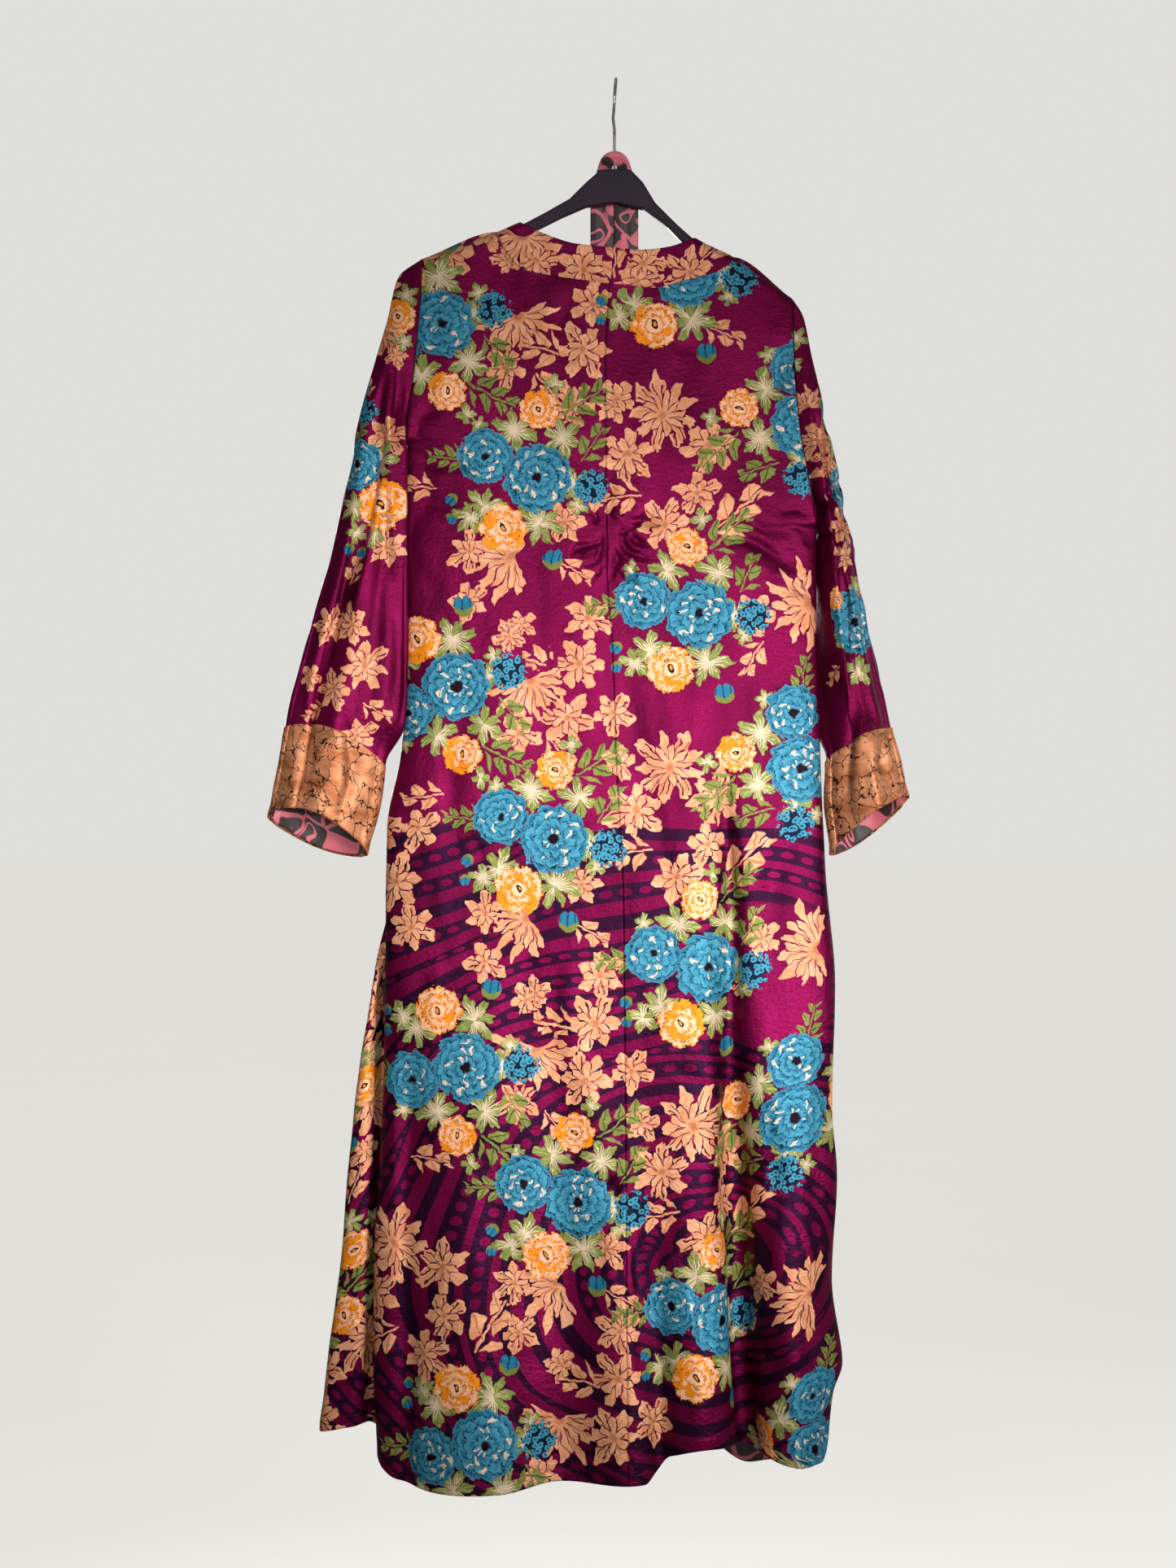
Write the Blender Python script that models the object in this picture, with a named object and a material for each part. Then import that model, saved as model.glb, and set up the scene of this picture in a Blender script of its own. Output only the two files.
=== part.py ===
# Kimono robe hung on a moulded hanger, seen from its back.
# Metres, +Z up. The robe's back faces -Y, its front faces +Y, and the origin is the inside top of the hook.
import math

import bmesh
import bpy
import numpy as np

# Driving dimensions
CLOTH = 0.0015
CUFF_CLOTH = 0.0015
LINING_CLOTH = 0.0012
SEAM = 0.0003
SEAM_CLEAR = 0.0007
RIDGE_DROP = 0.009
PANEL_POWER = 3.0
SLEEVE_END_RADIUS = 0.0065
ARMHOLE_HALF_DEPTH = 0.0095
FLAP_DEPTH = 0.012
FLAP_TURN = 0.018
FLAP_START = -0.780
LIMIT_FLOOR = -0.700
FLAP_GROWTH = 0.400
BODY_LENGTH = 1.25
FRONT_COLUMNS = 13
SLEEVE_COLUMNS = 22
BELT_WIDTH = 0.024
BELT_THICK = 0.0018
BELT_LOOP_WIDTH = 0.014
BELT_LOOP_RADIUS = 0.0105
BELT_LOOP_CENTRE = -0.0905
BELT_LOW = -0.890
BELT_TAIL_TOP = -0.112
BELT_TAIL_X = 0.0128
BELT_TAIL_STEP = 0.055
HOOK_WIRE = 0.003
HOOK_LOOP = 0.0195
HOOK_FOOT = -0.0909
HANGER_THICK = 0.009
HANGER_BEVEL = 0.0016
# How far to each side a wall's direction is taken, as shares of its width and length.
TUBE_REACH = (0.0002, 0.0002)
PANEL_REACH = (0.012, 0.0024)
BAND_REACH = (0.08, 0.0024)
NECK_BAND_REACH = (0.012, 0.08)

# The body's side edges with the armhole seams above: height, then x on each side.
LEFT_EDGE = (
    # z, x
    (-0.183, -0.1974),
    (-0.234, -0.1999),
    (-0.306, -0.2070),
    (-0.374, -0.2150),
    (-0.554, -0.2134),
    (-0.630, -0.2150),
    (-0.697, -0.2209),
    (-0.769, -0.2344),
    (-0.995, -0.2369),
    (-1.092, -0.2402),
    (-1.201, -0.2461),
    (-1.310, -0.2478),
    (-1.402, -0.2436),
)
RIGHT_EDGE = (
    # z, x
    (-0.225, 0.1831),
    (-0.297, 0.1848),
    (-0.361, 0.1907),
    (-0.425, 0.2024),
    (-0.462, 0.2083),
    (-0.554, 0.2083),
    (-0.697, 0.2125),
    (-0.818, 0.2176),
    (-0.931, 0.2276),
    (-1.059, 0.2243),
    (-1.128, 0.2293),
    (-1.237, 0.2243),
    (-1.320, 0.2345),
    (-1.352, 0.2243),
    (-1.413, 0.2184),
)
# The left front comes round past the back's edge: its outermost x.
FLAP_EDGE = (
    # z, x
    (-0.860, -0.2344),
    (-0.911, -0.2453),
    (-1.027, -0.2646),
    (-1.092, -0.2713),
    (-1.220, -0.2839),
    (-1.296, -0.2932),
    (-1.387, -0.3041),
)
# The crest of the shoulders, carried on over the neck.
RIDGE = (
    # x, z
    (-0.2218, -0.1920),
    (-0.1974, -0.1831),
    (-0.1201, -0.1554),
    (-0.0983, -0.1462),
    (-0.0462, -0.1260),
    (0.0378, -0.1302),
    (0.0848, -0.1630),
    (0.1201, -0.1806),
    (0.1798, -0.2218),
    (0.1960, -0.2330),
)
# The neck band behind the neck: its lower and upper edges at stations from left to right.
NECK_BAND = (
    # lower x, lower z, upper x, upper z
    (-0.1201, -0.1554, -0.0983, -0.1462),
    (-0.1126, -0.1722, -0.0900, -0.1512),
    (-0.0932, -0.1932, -0.0781, -0.1571),
    (-0.0690, -0.1990, -0.0620, -0.1635),
    (-0.0437, -0.2033, -0.0410, -0.1697),
    (-0.0240, -0.2060, -0.0220, -0.1720),
    (-0.0050, -0.2083, -0.0034, -0.1735),
    (0.0170, -0.2105, 0.0130, -0.1752),
    (0.0395, -0.2125, 0.0300, -0.1762),
    (0.0722, -0.2050, 0.0560, -0.1730),
    (0.0930, -0.2000, 0.0690, -0.1690),
    (0.1042, -0.1957, 0.0760, -0.1662),
    (0.1159, -0.1870, 0.0810, -0.1640),
    (0.1210, -0.1812, 0.0848, -0.1630),
)
NECK_STATIONS = (0, 0.14, 0.47, 1, 2, 3, 4, 5, 6, 7, 8, 9, 10, 11, 12, 12.5, 12.85, 13)
LEFT_SHOULDER = ((-0.1974, -0.1831),)
RIGHT_SHOULDER = ((0.1798, -0.2218), (0.1831, -0.2245))
SEAM_STATION = 6
CENTRE_SEAM = (
    # z, x
    (-0.208, -0.0050),
    (-0.291, -0.0095),
    (-0.514, -0.0076),
    (-0.588, -0.0025),
    (-0.710, 0.0017),
    (-0.840, 0.0084),
    (-1.440, 0.0126),
)
BACK_HEM = (
    # x, z
    (-0.2478, -1.400),
    (-0.2386, -1.420),
    (-0.2201, -1.432),
    (-0.1688, -1.440),
    (-0.1184, -1.440),
    (-0.0596, -1.430),
    (0.0300, -1.430),
    (0.0420, -1.420),
    (0.0563, -1.404),
    (0.0932, -1.395),
    (0.1369, -1.402),
    (0.1730, -1.414),
    (0.1949, -1.418),
    (0.2117, -1.418),
    (0.2184, -1.408),
)
FRONT_HEM = (
    # x, z
    (-0.3060, -1.392),
    (-0.2500, -1.384),
    (-0.1500, -1.398),
    (0.0000, -1.404),
    (0.0900, -1.410),
    (0.1400, -1.430),
    (0.1900, -1.434),
    (0.2200, -1.415),
)
# How far the middle of the back and of the front stand off the middle plane.
DEPTHS = (
    # z, back, front
    (-0.140, 0.0085, 0.0085),
    (-0.250, 0.0110, 0.0110),
    (-0.400, 0.0150, 0.0150),
    (-0.600, 0.0220, 0.0220),
    (-0.900, 0.0330, 0.0300),
    (-1.200, 0.0460, 0.0380),
    (-1.460, 0.0560, 0.0460),
)
# The front bands: the seam to the panel and the free edge, on each side.
FRONT_BAND = (
    # z, left seam, left edge, right edge, right seam
    (-0.140, -0.1230, -0.0983, 0.0860, 0.1300),
    (-0.165, -0.1170, -0.0900, 0.0840, 0.1242),
    (-0.200, -0.1060, -0.0760, 0.0760, 0.1165),
    (-0.300, -0.0800, -0.0460, 0.0500, 0.0840),
    (-0.400, -0.0590, -0.0240, 0.0290, 0.0630),
    (-0.500, -0.0450, -0.0095, 0.0150, 0.0500),
    (-0.600, -0.0400, -0.0045, 0.0095, 0.0450),
    (-0.900, -0.0400, -0.0045, 0.0095, 0.0450),
    (-1.460, -0.0440, -0.0085, 0.0135, 0.0490),
)
# The largest folds. A positive depth is a valley, a negative one a ridge.
BACK_FOLDS = (
    # z top, z bottom, x top, x bottom, half width, depth at the bottom
    (-0.720, -1.300, 0.104, 0.134, 0.017, 0.036),
    (-1.120, -1.420, 0.040, 0.047, 0.012, 0.012),
    (-0.820, -1.380, 0.060, 0.086, 0.022, -0.009),
    (-0.800, -1.350, -0.125, -0.150, 0.045, -0.012),
    (-0.900, -1.400, -0.060, -0.050, 0.028, 0.009),
    (-1.000, -1.400, 0.000, 0.010, 0.030, -0.010),
    (-0.850, -1.350, -0.208, -0.212, 0.012, 0.008),
    (-0.900, -1.350, 0.170, 0.184, 0.020, -0.010),
)
FRONT_FOLDS = (
    # z top, z bottom, x top, x bottom, half width, depth at the bottom
    (-0.650, -1.350, -0.120, -0.150, 0.020, -0.020),
    (-0.700, -1.350, -0.075, -0.085, 0.024, 0.012),
    (-0.800, -1.350, -0.190, -0.225, 0.022, 0.012),
    (-0.600, -1.300, 0.110, 0.135, 0.020, -0.022),
    (-0.760, -1.350, 0.075, 0.080, 0.022, 0.011),
    (-0.800, -1.350, 0.165, 0.185, 0.018, 0.010),
)
# Sleeve rings run from the outer edge to the inner one, down from the armhole. The half depth is how far
# each side stands off the middle, and the lift and drop tilt a ring at the cuff.
LEFT_SLEEVE = (
    # outer x, outer z, inner x, inner z, half depth, lift of the near side, drop of the far side
    (-0.1974, -0.1831, -0.2159, -0.3735, 0.0095, 0.000, 0.000),
    (-0.2218, -0.2010, -0.2178, -0.3881, 0.0120, 0.000, 0.000),
    (-0.2335, -0.2478, -0.2178, -0.4074, 0.0150, 0.002, 0.001),
    (-0.2461, -0.2898, -0.2178, -0.4301, 0.0170, 0.004, 0.002),
    (-0.2596, -0.3360, -0.2178, -0.4578, 0.0185, 0.006, 0.003),
    (-0.2705, -0.3839, -0.2170, -0.4872, 0.0200, 0.008, 0.004),
    (-0.2806, -0.4343, -0.2164, -0.5166, 0.0210, 0.010, 0.005),
    (-0.2906, -0.4788, -0.2162, -0.5460, 0.0220, 0.012, 0.006),
    (-0.3024, -0.5242, -0.2174, -0.5754, 0.0225, 0.014, 0.007),
    (-0.3116, -0.5544, -0.2194, -0.6006, 0.0230, 0.016, 0.008),
    (-0.3234, -0.6006, -0.2243, -0.6426, 0.0240, 0.018, 0.009),
    (-0.3335, -0.6401, -0.2302, -0.6821, 0.0250, 0.020, 0.010),
    (-0.3390, -0.6703, -0.2365, -0.7081, 0.0260, 0.021, 0.011),
    (-0.3470, -0.7140, -0.2425, -0.7501, 0.0280, 0.023, 0.013),
    (-0.3560, -0.7602, -0.2562, -0.7972, 0.0300, 0.025, 0.015),
)
RIGHT_SLEEVE = (
    # outer x, outer z, inner x, inner z, half depth, lift of the near side, drop of the far side
    (0.1831, -0.2251, 0.2083, -0.4620, 0.0095, 0.000, 0.000),
    (0.1940, -0.2420, 0.2110, -0.4738, 0.0125, 0.000, 0.000),
    (0.2033, -0.2856, 0.2118, -0.4889, 0.0160, 0.001, 0.001),
    (0.2150, -0.3352, 0.2128, -0.5057, 0.0190, 0.002, 0.002),
    (0.2243, -0.3780, 0.2142, -0.5242, 0.0215, 0.003, 0.003),
    (0.2327, -0.4158, 0.2150, -0.5443, 0.0235, 0.004, 0.004),
    (0.2419, -0.4620, 0.2159, -0.5670, 0.0250, 0.005, 0.005),
    (0.2512, -0.5141, 0.2167, -0.5897, 0.0265, 0.006, 0.006),
    (0.2612, -0.5670, 0.2176, -0.6174, 0.0275, 0.007, 0.007),
    (0.2713, -0.6132, 0.2176, -0.6468, 0.0285, 0.008, 0.008),
    (0.2797, -0.6451, 0.2176, -0.6762, 0.0290, 0.009, 0.009),
    (0.2850, -0.6686, 0.2176, -0.7014, 0.0295, 0.010, 0.010),
    (0.2945, -0.7014, 0.2176, -0.7434, 0.0305, 0.012, 0.012),
    (0.3014, -0.7392, 0.2236, -0.7972, 0.0320, 0.014, 0.015),
)
# Creases down the sleeves. The side is +1 on the robe's back and -1 on its front, and the place runs
# from 0 at the inner edge to 1 at the outer one.
LEFT_CREASES = (
    # side, place at the top, place at the cuff, start, end, half width, depth
    (1, 0.72, 0.60, 0.10, 1.00, 0.09, 0.0060),
    (1, 0.40, 0.22, 0.25, 0.85, 0.08, 0.0045),
    (-1, 0.60, 0.45, 0.15, 0.90, 0.10, 0.0055),
)
RIGHT_CREASES = (
    # side, place at the top, place at the cuff, start, end, half width, depth
    (1, 0.75, 0.35, 0.10, 0.75, 0.09, 0.0060),
    (1, 0.50, 0.75, 0.45, 1.00, 0.09, 0.0045),
    (-1, 0.55, 0.50, 0.15, 0.90, 0.10, 0.0055),
)
LEFT_CUFF_TOP = 12
RIGHT_CUFF_TOP = 11
MOUTH_STEP = 0.05
# How far across each half of the back its outer columns stand.
BACK_COLUMNS = (0.0, 0.010, 0.035, 0.075, 0.13, 0.20, 0.27, 0.34)

COLOURS = {
    "print": ((0.26, 0.012, 0.10), 0.38, 0.0),
    "cuff": ((0.56, 0.24, 0.11), 0.36, 0.0),
    "lining": ((0.45, 0.09, 0.12), 0.42, 0.0),
    "hanger": ((0.022, 0.012, 0.020), 0.50, 0.0),
    "steel": ((0.55, 0.54, 0.52), 0.32, 1.0),
}


def column(table, index):
    return np.array([row[index] for row in table])


def along(table, key, index, value):
    keys = column(table, key)
    values = column(table, index)
    if keys[0] > keys[-1]:
        keys, values = keys[::-1], values[::-1]
    return np.interp(value, keys, values)


def smooth_step(value):
    value = np.clip(value, 0.0, 1.0)
    return value * value * (3.0 - 2.0 * value)


def bulge(fraction):
    # 0 at both sides with an upright start, 1 in the middle
    inside = np.clip(np.abs(2.0 * fraction - 1.0), 0.0, 1.0)
    return (1.0 - inside ** PANEL_POWER) ** (1.0 / PANEL_POWER)


def half_bulge(fraction):
    inside = np.clip(1.0 - fraction, 0.0, 1.0)
    return (1.0 - inside ** PANEL_POWER) ** (1.0 / PANEL_POWER)


def shoulder_round(x, z):
    # the cloth turns over the hanger's arms at the crest of the shoulders
    drop = np.clip((along(RIDGE, 0, 1, x) - z) / RIDGE_DROP, 0.0, 1.0)
    return np.sqrt(1.0 - (1.0 - drop) ** 2)


def armhole_depth(z, sleeve):
    top, bottom = sleeve[0][1], sleeve[0][3]
    place = np.clip((z - bottom) / (top - bottom), 0.0, 1.0)
    low_end = np.clip((z - bottom) / SLEEVE_END_RADIUS, 0.0, 1.0)
    arch = 1.0 - (2.0 * place - 1.0) ** 2
    reach = SLEEVE_END_RADIUS + (ARMHOLE_HALF_DEPTH - SLEEVE_END_RADIUS) * arch
    return reach * np.sqrt(1.0 - (1.0 - low_end) ** 2)


def folds(table, x, z):
    total = np.zeros(np.broadcast(x, z).shape)
    for top, bottom, x_top, x_bottom, half_width, depth in table:
        grow = smooth_step((top - z) / (top - bottom))
        centre = x_top + (x_bottom - x_top) * np.clip((top - z) / (top - bottom), 0.0, 1.0)
        total = total + depth * grow * np.exp(-((x - centre) / half_width) ** 2)
    return total


def flap_width(z):
    return np.maximum(0.0, along(LEFT_EDGE, 0, 1, z) - along(FLAP_EDGE, 0, 1, z))


def side_shift(z):
    # how far the left side seam moves towards the back, where the front comes round
    return FLAP_DEPTH * smooth_step((FLAP_START - z) / FLAP_GROWTH)


def body_depth(x, z, left, right, middle):
    # y off the middle plane for one side of the body, from the armhole's depth at the edges
    place = np.clip((x - left) / (right - left), 0.0, 1.0)
    edge = armhole_depth(z, LEFT_SLEEVE) * (1.0 - place) + armhole_depth(z, RIGHT_SLEEVE) * place
    return edge + (middle - edge) * bulge(place)


def back_y(x, z):
    left = along(LEFT_EDGE, 0, 1, z)
    right = along(RIGHT_EDGE, 0, 1, z)
    middle = along(DEPTHS, 0, 1, z)
    shift = side_shift(z) * np.clip((right - x) / (right - left), 0.0, 1.0)
    depth = shift + body_depth(x, z, left, right, middle - shift)
    sides = np.clip((x - left) / 0.018, 0.0, 1.0) * np.clip((right - x) / 0.018, 0.0, 1.0)
    return -(depth - folds(BACK_FOLDS, x, z) * sides) * shoulder_round(x, z) - SEAM / 2.0


def front_y(x, z):
    left = np.minimum(along(LEFT_EDGE, 0, 1, z), along(FLAP_EDGE, 0, 1, z))
    left = np.where(z > FLAP_EDGE[0][0], along(LEFT_EDGE, 0, 1, z), left)
    right = along(RIGHT_EDGE, 0, 1, z)
    middle = along(DEPTHS, 0, 2, z)
    depth = body_depth(x, z, left, right, middle)
    sides = np.clip((x - left) / 0.018, 0.0, 1.0) * np.clip((right - x) / 0.018, 0.0, 1.0)
    return (depth + folds(FRONT_FOLDS, x, z) * sides) * shoulder_round(x, z) + SEAM / 2.0


def packed(start, end, count):
    # places from a side edge inwards, closer together at the edge
    share = 1.0 - np.cos(np.linspace(0.0, math.pi / 2.0, count))
    return start + (end - start) * share


def back_left_section(z):
    x = packed(along(LEFT_EDGE, 0, 1, z), along(CENTRE_SEAM, 0, 1, z) - SEAM / 2.0, 120)
    return x, back_y(x, z)


def back_right_section(z):
    x = packed(along(RIGHT_EDGE, 0, 1, z), along(CENTRE_SEAM, 0, 1, z) + SEAM / 2.0, 120)
    return x, back_y(x, z)


def front_left_section(z):
    # the seam opens a little where it turns over the shoulder
    seam = along(FRONT_BAND, 0, 1, z) - SEAM * (1.0 + 4.0 * np.clip((z + 0.190) / 0.02, 0.0, 1.0))
    edge = along(LEFT_EDGE, 0, 1, z)
    width = float(flap_width(z)) if z < FLAP_EDGE[0][0] else 0.0
    outermost = edge - width
    far_x = packed(outermost, seam, 120)
    far_y = front_y(far_x, z)
    shift = float(side_shift(z))
    if shift < 1e-6:
        return far_x, far_y
    inset = CLOTH * min(1.0, width / 0.006)
    turn = max(1e-5, min(FLAP_TURN, width))
    near_x = packed(outermost, edge + inset, 40)[::-1]
    near_y = -shift * half_bulge(np.minimum(1.0, (near_x - outermost) / turn)) + SEAM / 2.0
    start_x, start_y = [edge + inset], [-shift + SEAM / 2.0]
    return np.concatenate((start_x, near_x, far_x[1:])), np.concatenate((start_y, near_y, far_y[1:]))


def front_right_section(z):
    seam = along(FRONT_BAND, 0, 4, z) + SEAM * (1.0 + 3.0 * np.clip((z + 0.215) / 0.02, 0.0, 1.0))
    x = packed(along(RIGHT_EDGE, 0, 1, z), seam, 120)
    return x, front_y(x, z)


def at_fraction(section, fraction):
    x, y = section
    length = np.concatenate(([0.0], np.cumsum(np.hypot(np.diff(x), np.diff(y)))))
    place = fraction * length[-1]
    return float(np.interp(place, length, x)), float(np.interp(place, length, y))


def panel_point(section_at, top_table, hem_table):
    # a function of how far across the panel's width and how far down its length a point is
    cache = {}

    def end_height(fraction, table):
        z = float(np.mean(column(table, 1)))
        for _ in range(8):
            x, _y = at_fraction(section_at(z), fraction)
            z = float(along(table, 0, 1, x))
        return z

    def point(fraction, down):
        if fraction not in cache:
            cache[fraction] = (end_height(fraction, top_table), end_height(fraction, hem_table))
        top, bottom = cache[fraction]
        z = top + (bottom - top) * down
        x, y = at_fraction(section_at(z), fraction)
        return np.array((x, y, z))

    return point


def band_section(start_index, end_index):
    def section(z):
        start = along(FRONT_BAND, 0, start_index, z)
        end = along(FRONT_BAND, 0, end_index, z)
        x = np.linspace(start, end, 12)
        return x, front_y(x, z)

    return section


def neck_band_point(along_band, up):
    station = along_band * (len(NECK_BAND) - 1)
    stations = np.arange(len(NECK_BAND))
    low_x, low_z, high_x, high_z = (np.interp(station, stations, column(NECK_BAND, i)) for i in range(4))
    gap = 2.0 * SEAM + 2.0 * SEAM * abs(2.0 * along_band - 1.0) ** 8
    lift = gap / math.hypot(high_x - low_x, high_z - low_z)
    share = lift + (1.0 - lift) * up
    x = low_x + (high_x - low_x) * share
    z = low_z + (high_z - low_z) * share
    return np.array((x, float(back_y(x, z)), z))


def table_at(table, station):
    stations = np.arange(len(table))
    return [float(np.interp(station, stations, column(table, i))) for i in range(len(table[0]))]


def ring_point(half_width, half_depth, angle):
    # a flat ring with round ends: its place across and its depth for an angle from 0 to one turn
    radius = min(SLEEVE_END_RADIUS, half_depth)
    turn = angle % (2.0 * math.pi)
    side = 1.0 if turn < math.pi else -1.0
    # round ends take a quarter of the ring's points
    end_share = 0.25
    spot = turn / math.pi if turn < math.pi else (2.0 * math.pi - turn) / math.pi
    straight = half_width - radius
    if spot < end_share / 2.0:
        bend = spot / (end_share / 2.0) * math.pi / 2.0
        return straight + radius * math.cos(bend), side * radius * math.sin(bend)
    if spot > 1.0 - end_share / 2.0:
        bend = (1.0 - spot) / (end_share / 2.0) * math.pi / 2.0
        return -straight - radius * math.cos(bend), side * radius * math.sin(bend)
    across = 1.0 - 2.0 * (spot - end_share / 2.0) / (1.0 - end_share)
    depth = radius + (half_depth - radius) * (1.0 - across * across)
    return straight * across, side * depth


def sleeve_point(table, creases, outward_x):
    # a function of the angle round the sleeve and of how far down its stations a point is
    last = len(table) - 1
    top_x, top_z, low_x, low_z = table[0][:4]
    edge = LEFT_EDGE if outward_x < 0 else RIGHT_EDGE

    def point(turn, down):
        station = last * down
        outer_x, outer_z, inner_x, inner_z, half_depth, lift, drop = table_at(table, station)
        centre = np.array(((outer_x + inner_x) / 2.0, (outer_z + inner_z) / 2.0))
        reach = np.array(((outer_x - inner_x) / 2.0, (outer_z - inner_z) / 2.0))
        half_width = float(np.hypot(*reach))
        angle = turn * 2.0 * math.pi
        across, depth = ring_point(half_width, half_depth, angle)
        place = 0.5 + 0.5 * across / half_width
        side = 1.0 if depth >= 0.0 else -1.0
        for crease_side, top, bottom, start, end, width, amount in creases:
            if crease_side == side:
                fade = smooth_step((down - start) / 0.15) * smooth_step((end - down) / 0.12 + 1.0)
                dent = amount * float(fade) * math.exp(-((place - top - (bottom - top) * down) / width) ** 2)
                depth -= side * dent * smooth_step(min(place, 1.0 - place) / 0.2)
        flat = centre + reach / half_width * across
        swing = math.sin(angle)
        rise = lift * max(0.0, swing) + drop * min(0.0, swing)
        # the first rings follow the armhole seam, which bows
        seam_z = low_z + (top_z - low_z) * place
        bow = float(along(edge, 0, 1, seam_z)) - (low_x + (top_x - low_x) * place)
        bow *= max(0.0, 1.0 - station / 3.0)
        return np.array((flat[0] + outward_x * SEAM_CLEAR + bow, -depth, flat[1] + rise))

    return point


def surface_normal(point, u, v, outward, reach):
    # taken over a few millimetres of a panel, so that its wall never folds over at a tight turn
    u_reach, v_reach = reach
    u_low, u_high = u - u_reach, u + u_reach
    if reach != TUBE_REACH:
        u_low, u_high = max(0.0, u_low), min(1.0, u_high)
    v_low, v_high = max(0.0, v - v_reach), min(1.0, v + v_reach)
    normal = np.cross(point(u_high, v) - point(u_low, v), point(u, v_high) - point(u, v_low))
    return normal * outward / np.linalg.norm(normal)


def wall(name, point, across, down, thickness, outward, colour, reach=TUBE_REACH, moved=0.0, limit=None):
    # a cloth wall: an outer sheet of points, an inner one moved in along the normals, and their rims
    closed = reach == TUBE_REACH
    outer = np.zeros((len(down), len(across), 3))
    inner = np.zeros((len(down), len(across), 3))
    for j, v in enumerate(down):
        for i, u in enumerate(across):
            normal = surface_normal(point, u, v, outward, reach)
            outer[j, i] = point(u, v) + normal * moved
            inner[j, i] = outer[j, i] - normal * thickness
            if limit and inner[j, i, 2] > LIMIT_FLOOR:
                inner[j, i, 1] = limit * max(SEAM / 2.0, limit * inner[j, i, 1])
    return build_wall(name, outer, inner, colour, closed)


def halves(points, a, b, c, d):
    # a quad cut along its shorter diagonal
    if np.linalg.norm(points[a] - points[c]) <= np.linalg.norm(points[b] - points[d]):
        return (a, b, c), (a, c, d)
    return (a, b, d), (b, c, d)


def build_wall(name, outer, inner, colour, closed):
    rows, columns = outer.shape[:2]
    points = np.concatenate((outer.reshape(-1, 3), inner.reshape(-1, 3)))
    shift = rows * columns
    faces = []
    spans = columns if closed else columns - 1
    for j in range(rows - 1):
        for i in range(spans):
            k = (i + 1) % columns
            a, b, c, d = j * columns + i, j * columns + k, (j + 1) * columns + k, (j + 1) * columns + i
            for first, second, third in halves(points, a, b, c, d):
                faces.append((first, second, third))
                faces.append((third + shift, second + shift, first + shift))
    for i in range(spans):
        k = (i + 1) % columns
        low = (rows - 1) * columns
        faces.append((i, i + shift, k + shift, k))
        faces.append((low + i, low + k, low + k + shift, low + i + shift))
    if not closed:
        for j in range(rows - 1):
            a, d = j * columns, (j + 1) * columns
            b, c = a + columns - 1, d + columns - 1
            faces.append((a, d, d + shift, a + shift))
            faces.append((b, b + shift, c + shift, c))
    return make_object(name, points, faces, colour)


def make_object(name, points, faces, colour):
    mesh = bpy.data.meshes.new(name)
    mesh.from_pydata([tuple(p) for p in points], [], faces)
    shell = bmesh.new()
    shell.from_mesh(mesh)
    bmesh.ops.triangulate(shell, faces=shell.faces)
    bmesh.ops.recalc_face_normals(shell, faces=shell.faces)
    shell.to_mesh(mesh)
    shell.free()
    return finish(name, mesh, colour)


def finish(name, mesh, colour):
    mesh.shade_smooth()
    mesh.set_sharp_from_angle(angle=math.radians(50.0))
    mesh.materials.append(material(name, colour))
    item = bpy.data.objects.new(name, mesh)
    bpy.context.scene.collection.objects.link(item)
    return item


def material(name, colour):
    tint, roughness, metallic = COLOURS[colour]
    surface = bpy.data.materials.new(name + "_finish")
    surface.use_nodes = True
    shader = surface.node_tree.nodes["Principled BSDF"]
    shader.inputs["Base Color"].default_value = (*tint, 1.0)
    shader.inputs["Roughness"].default_value = roughness
    shader.inputs["Metallic"].default_value = metallic
    return surface


def body_rows(length):
    # close together where the cloth turns over the shoulder, then even down to the hem
    near_top = np.array((0.0, 0.0006, 0.0026, 0.0058, 0.0095, 0.020)) / length
    rest = np.linspace(0.045, length, 23) / length
    return np.concatenate((near_top, rest))


def even(count):
    return np.linspace(0.0, 1.0, count)


def edge_packed(count):
    # a few narrow columns at the side edge, then even ones
    first = np.array((0.0, 0.010, 0.035, 0.075))
    return np.concatenate((first, np.linspace(0.13, 1.0, count - 4)))


def columns_at_neck(point, outer_columns, side):
    # the outer columns, then one at each station of the neck band on this side of the centre seam
    places = np.interp(NECK_STATIONS, np.arange(len(NECK_BAND)), column(NECK_BAND, 0))
    stations = [x for x in places if side * (x - NECK_BAND[SEAM_STATION][0]) > 0.001]
    fractions = []
    for x in sorted(stations, key=lambda value: -side * value):
        low, high = 0.0, 1.0
        for _ in range(24):
            middle = (low + high) / 2.0
            if side * (point(middle, 0.0)[0] - x) > 0.0:
                low = middle
            else:
                high = middle
        fractions.append((low + high) / 2.0)
    kept = [share for share in outer_columns if share < fractions[0] - 0.02]
    return np.array(kept + fractions + [1.0])


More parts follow.
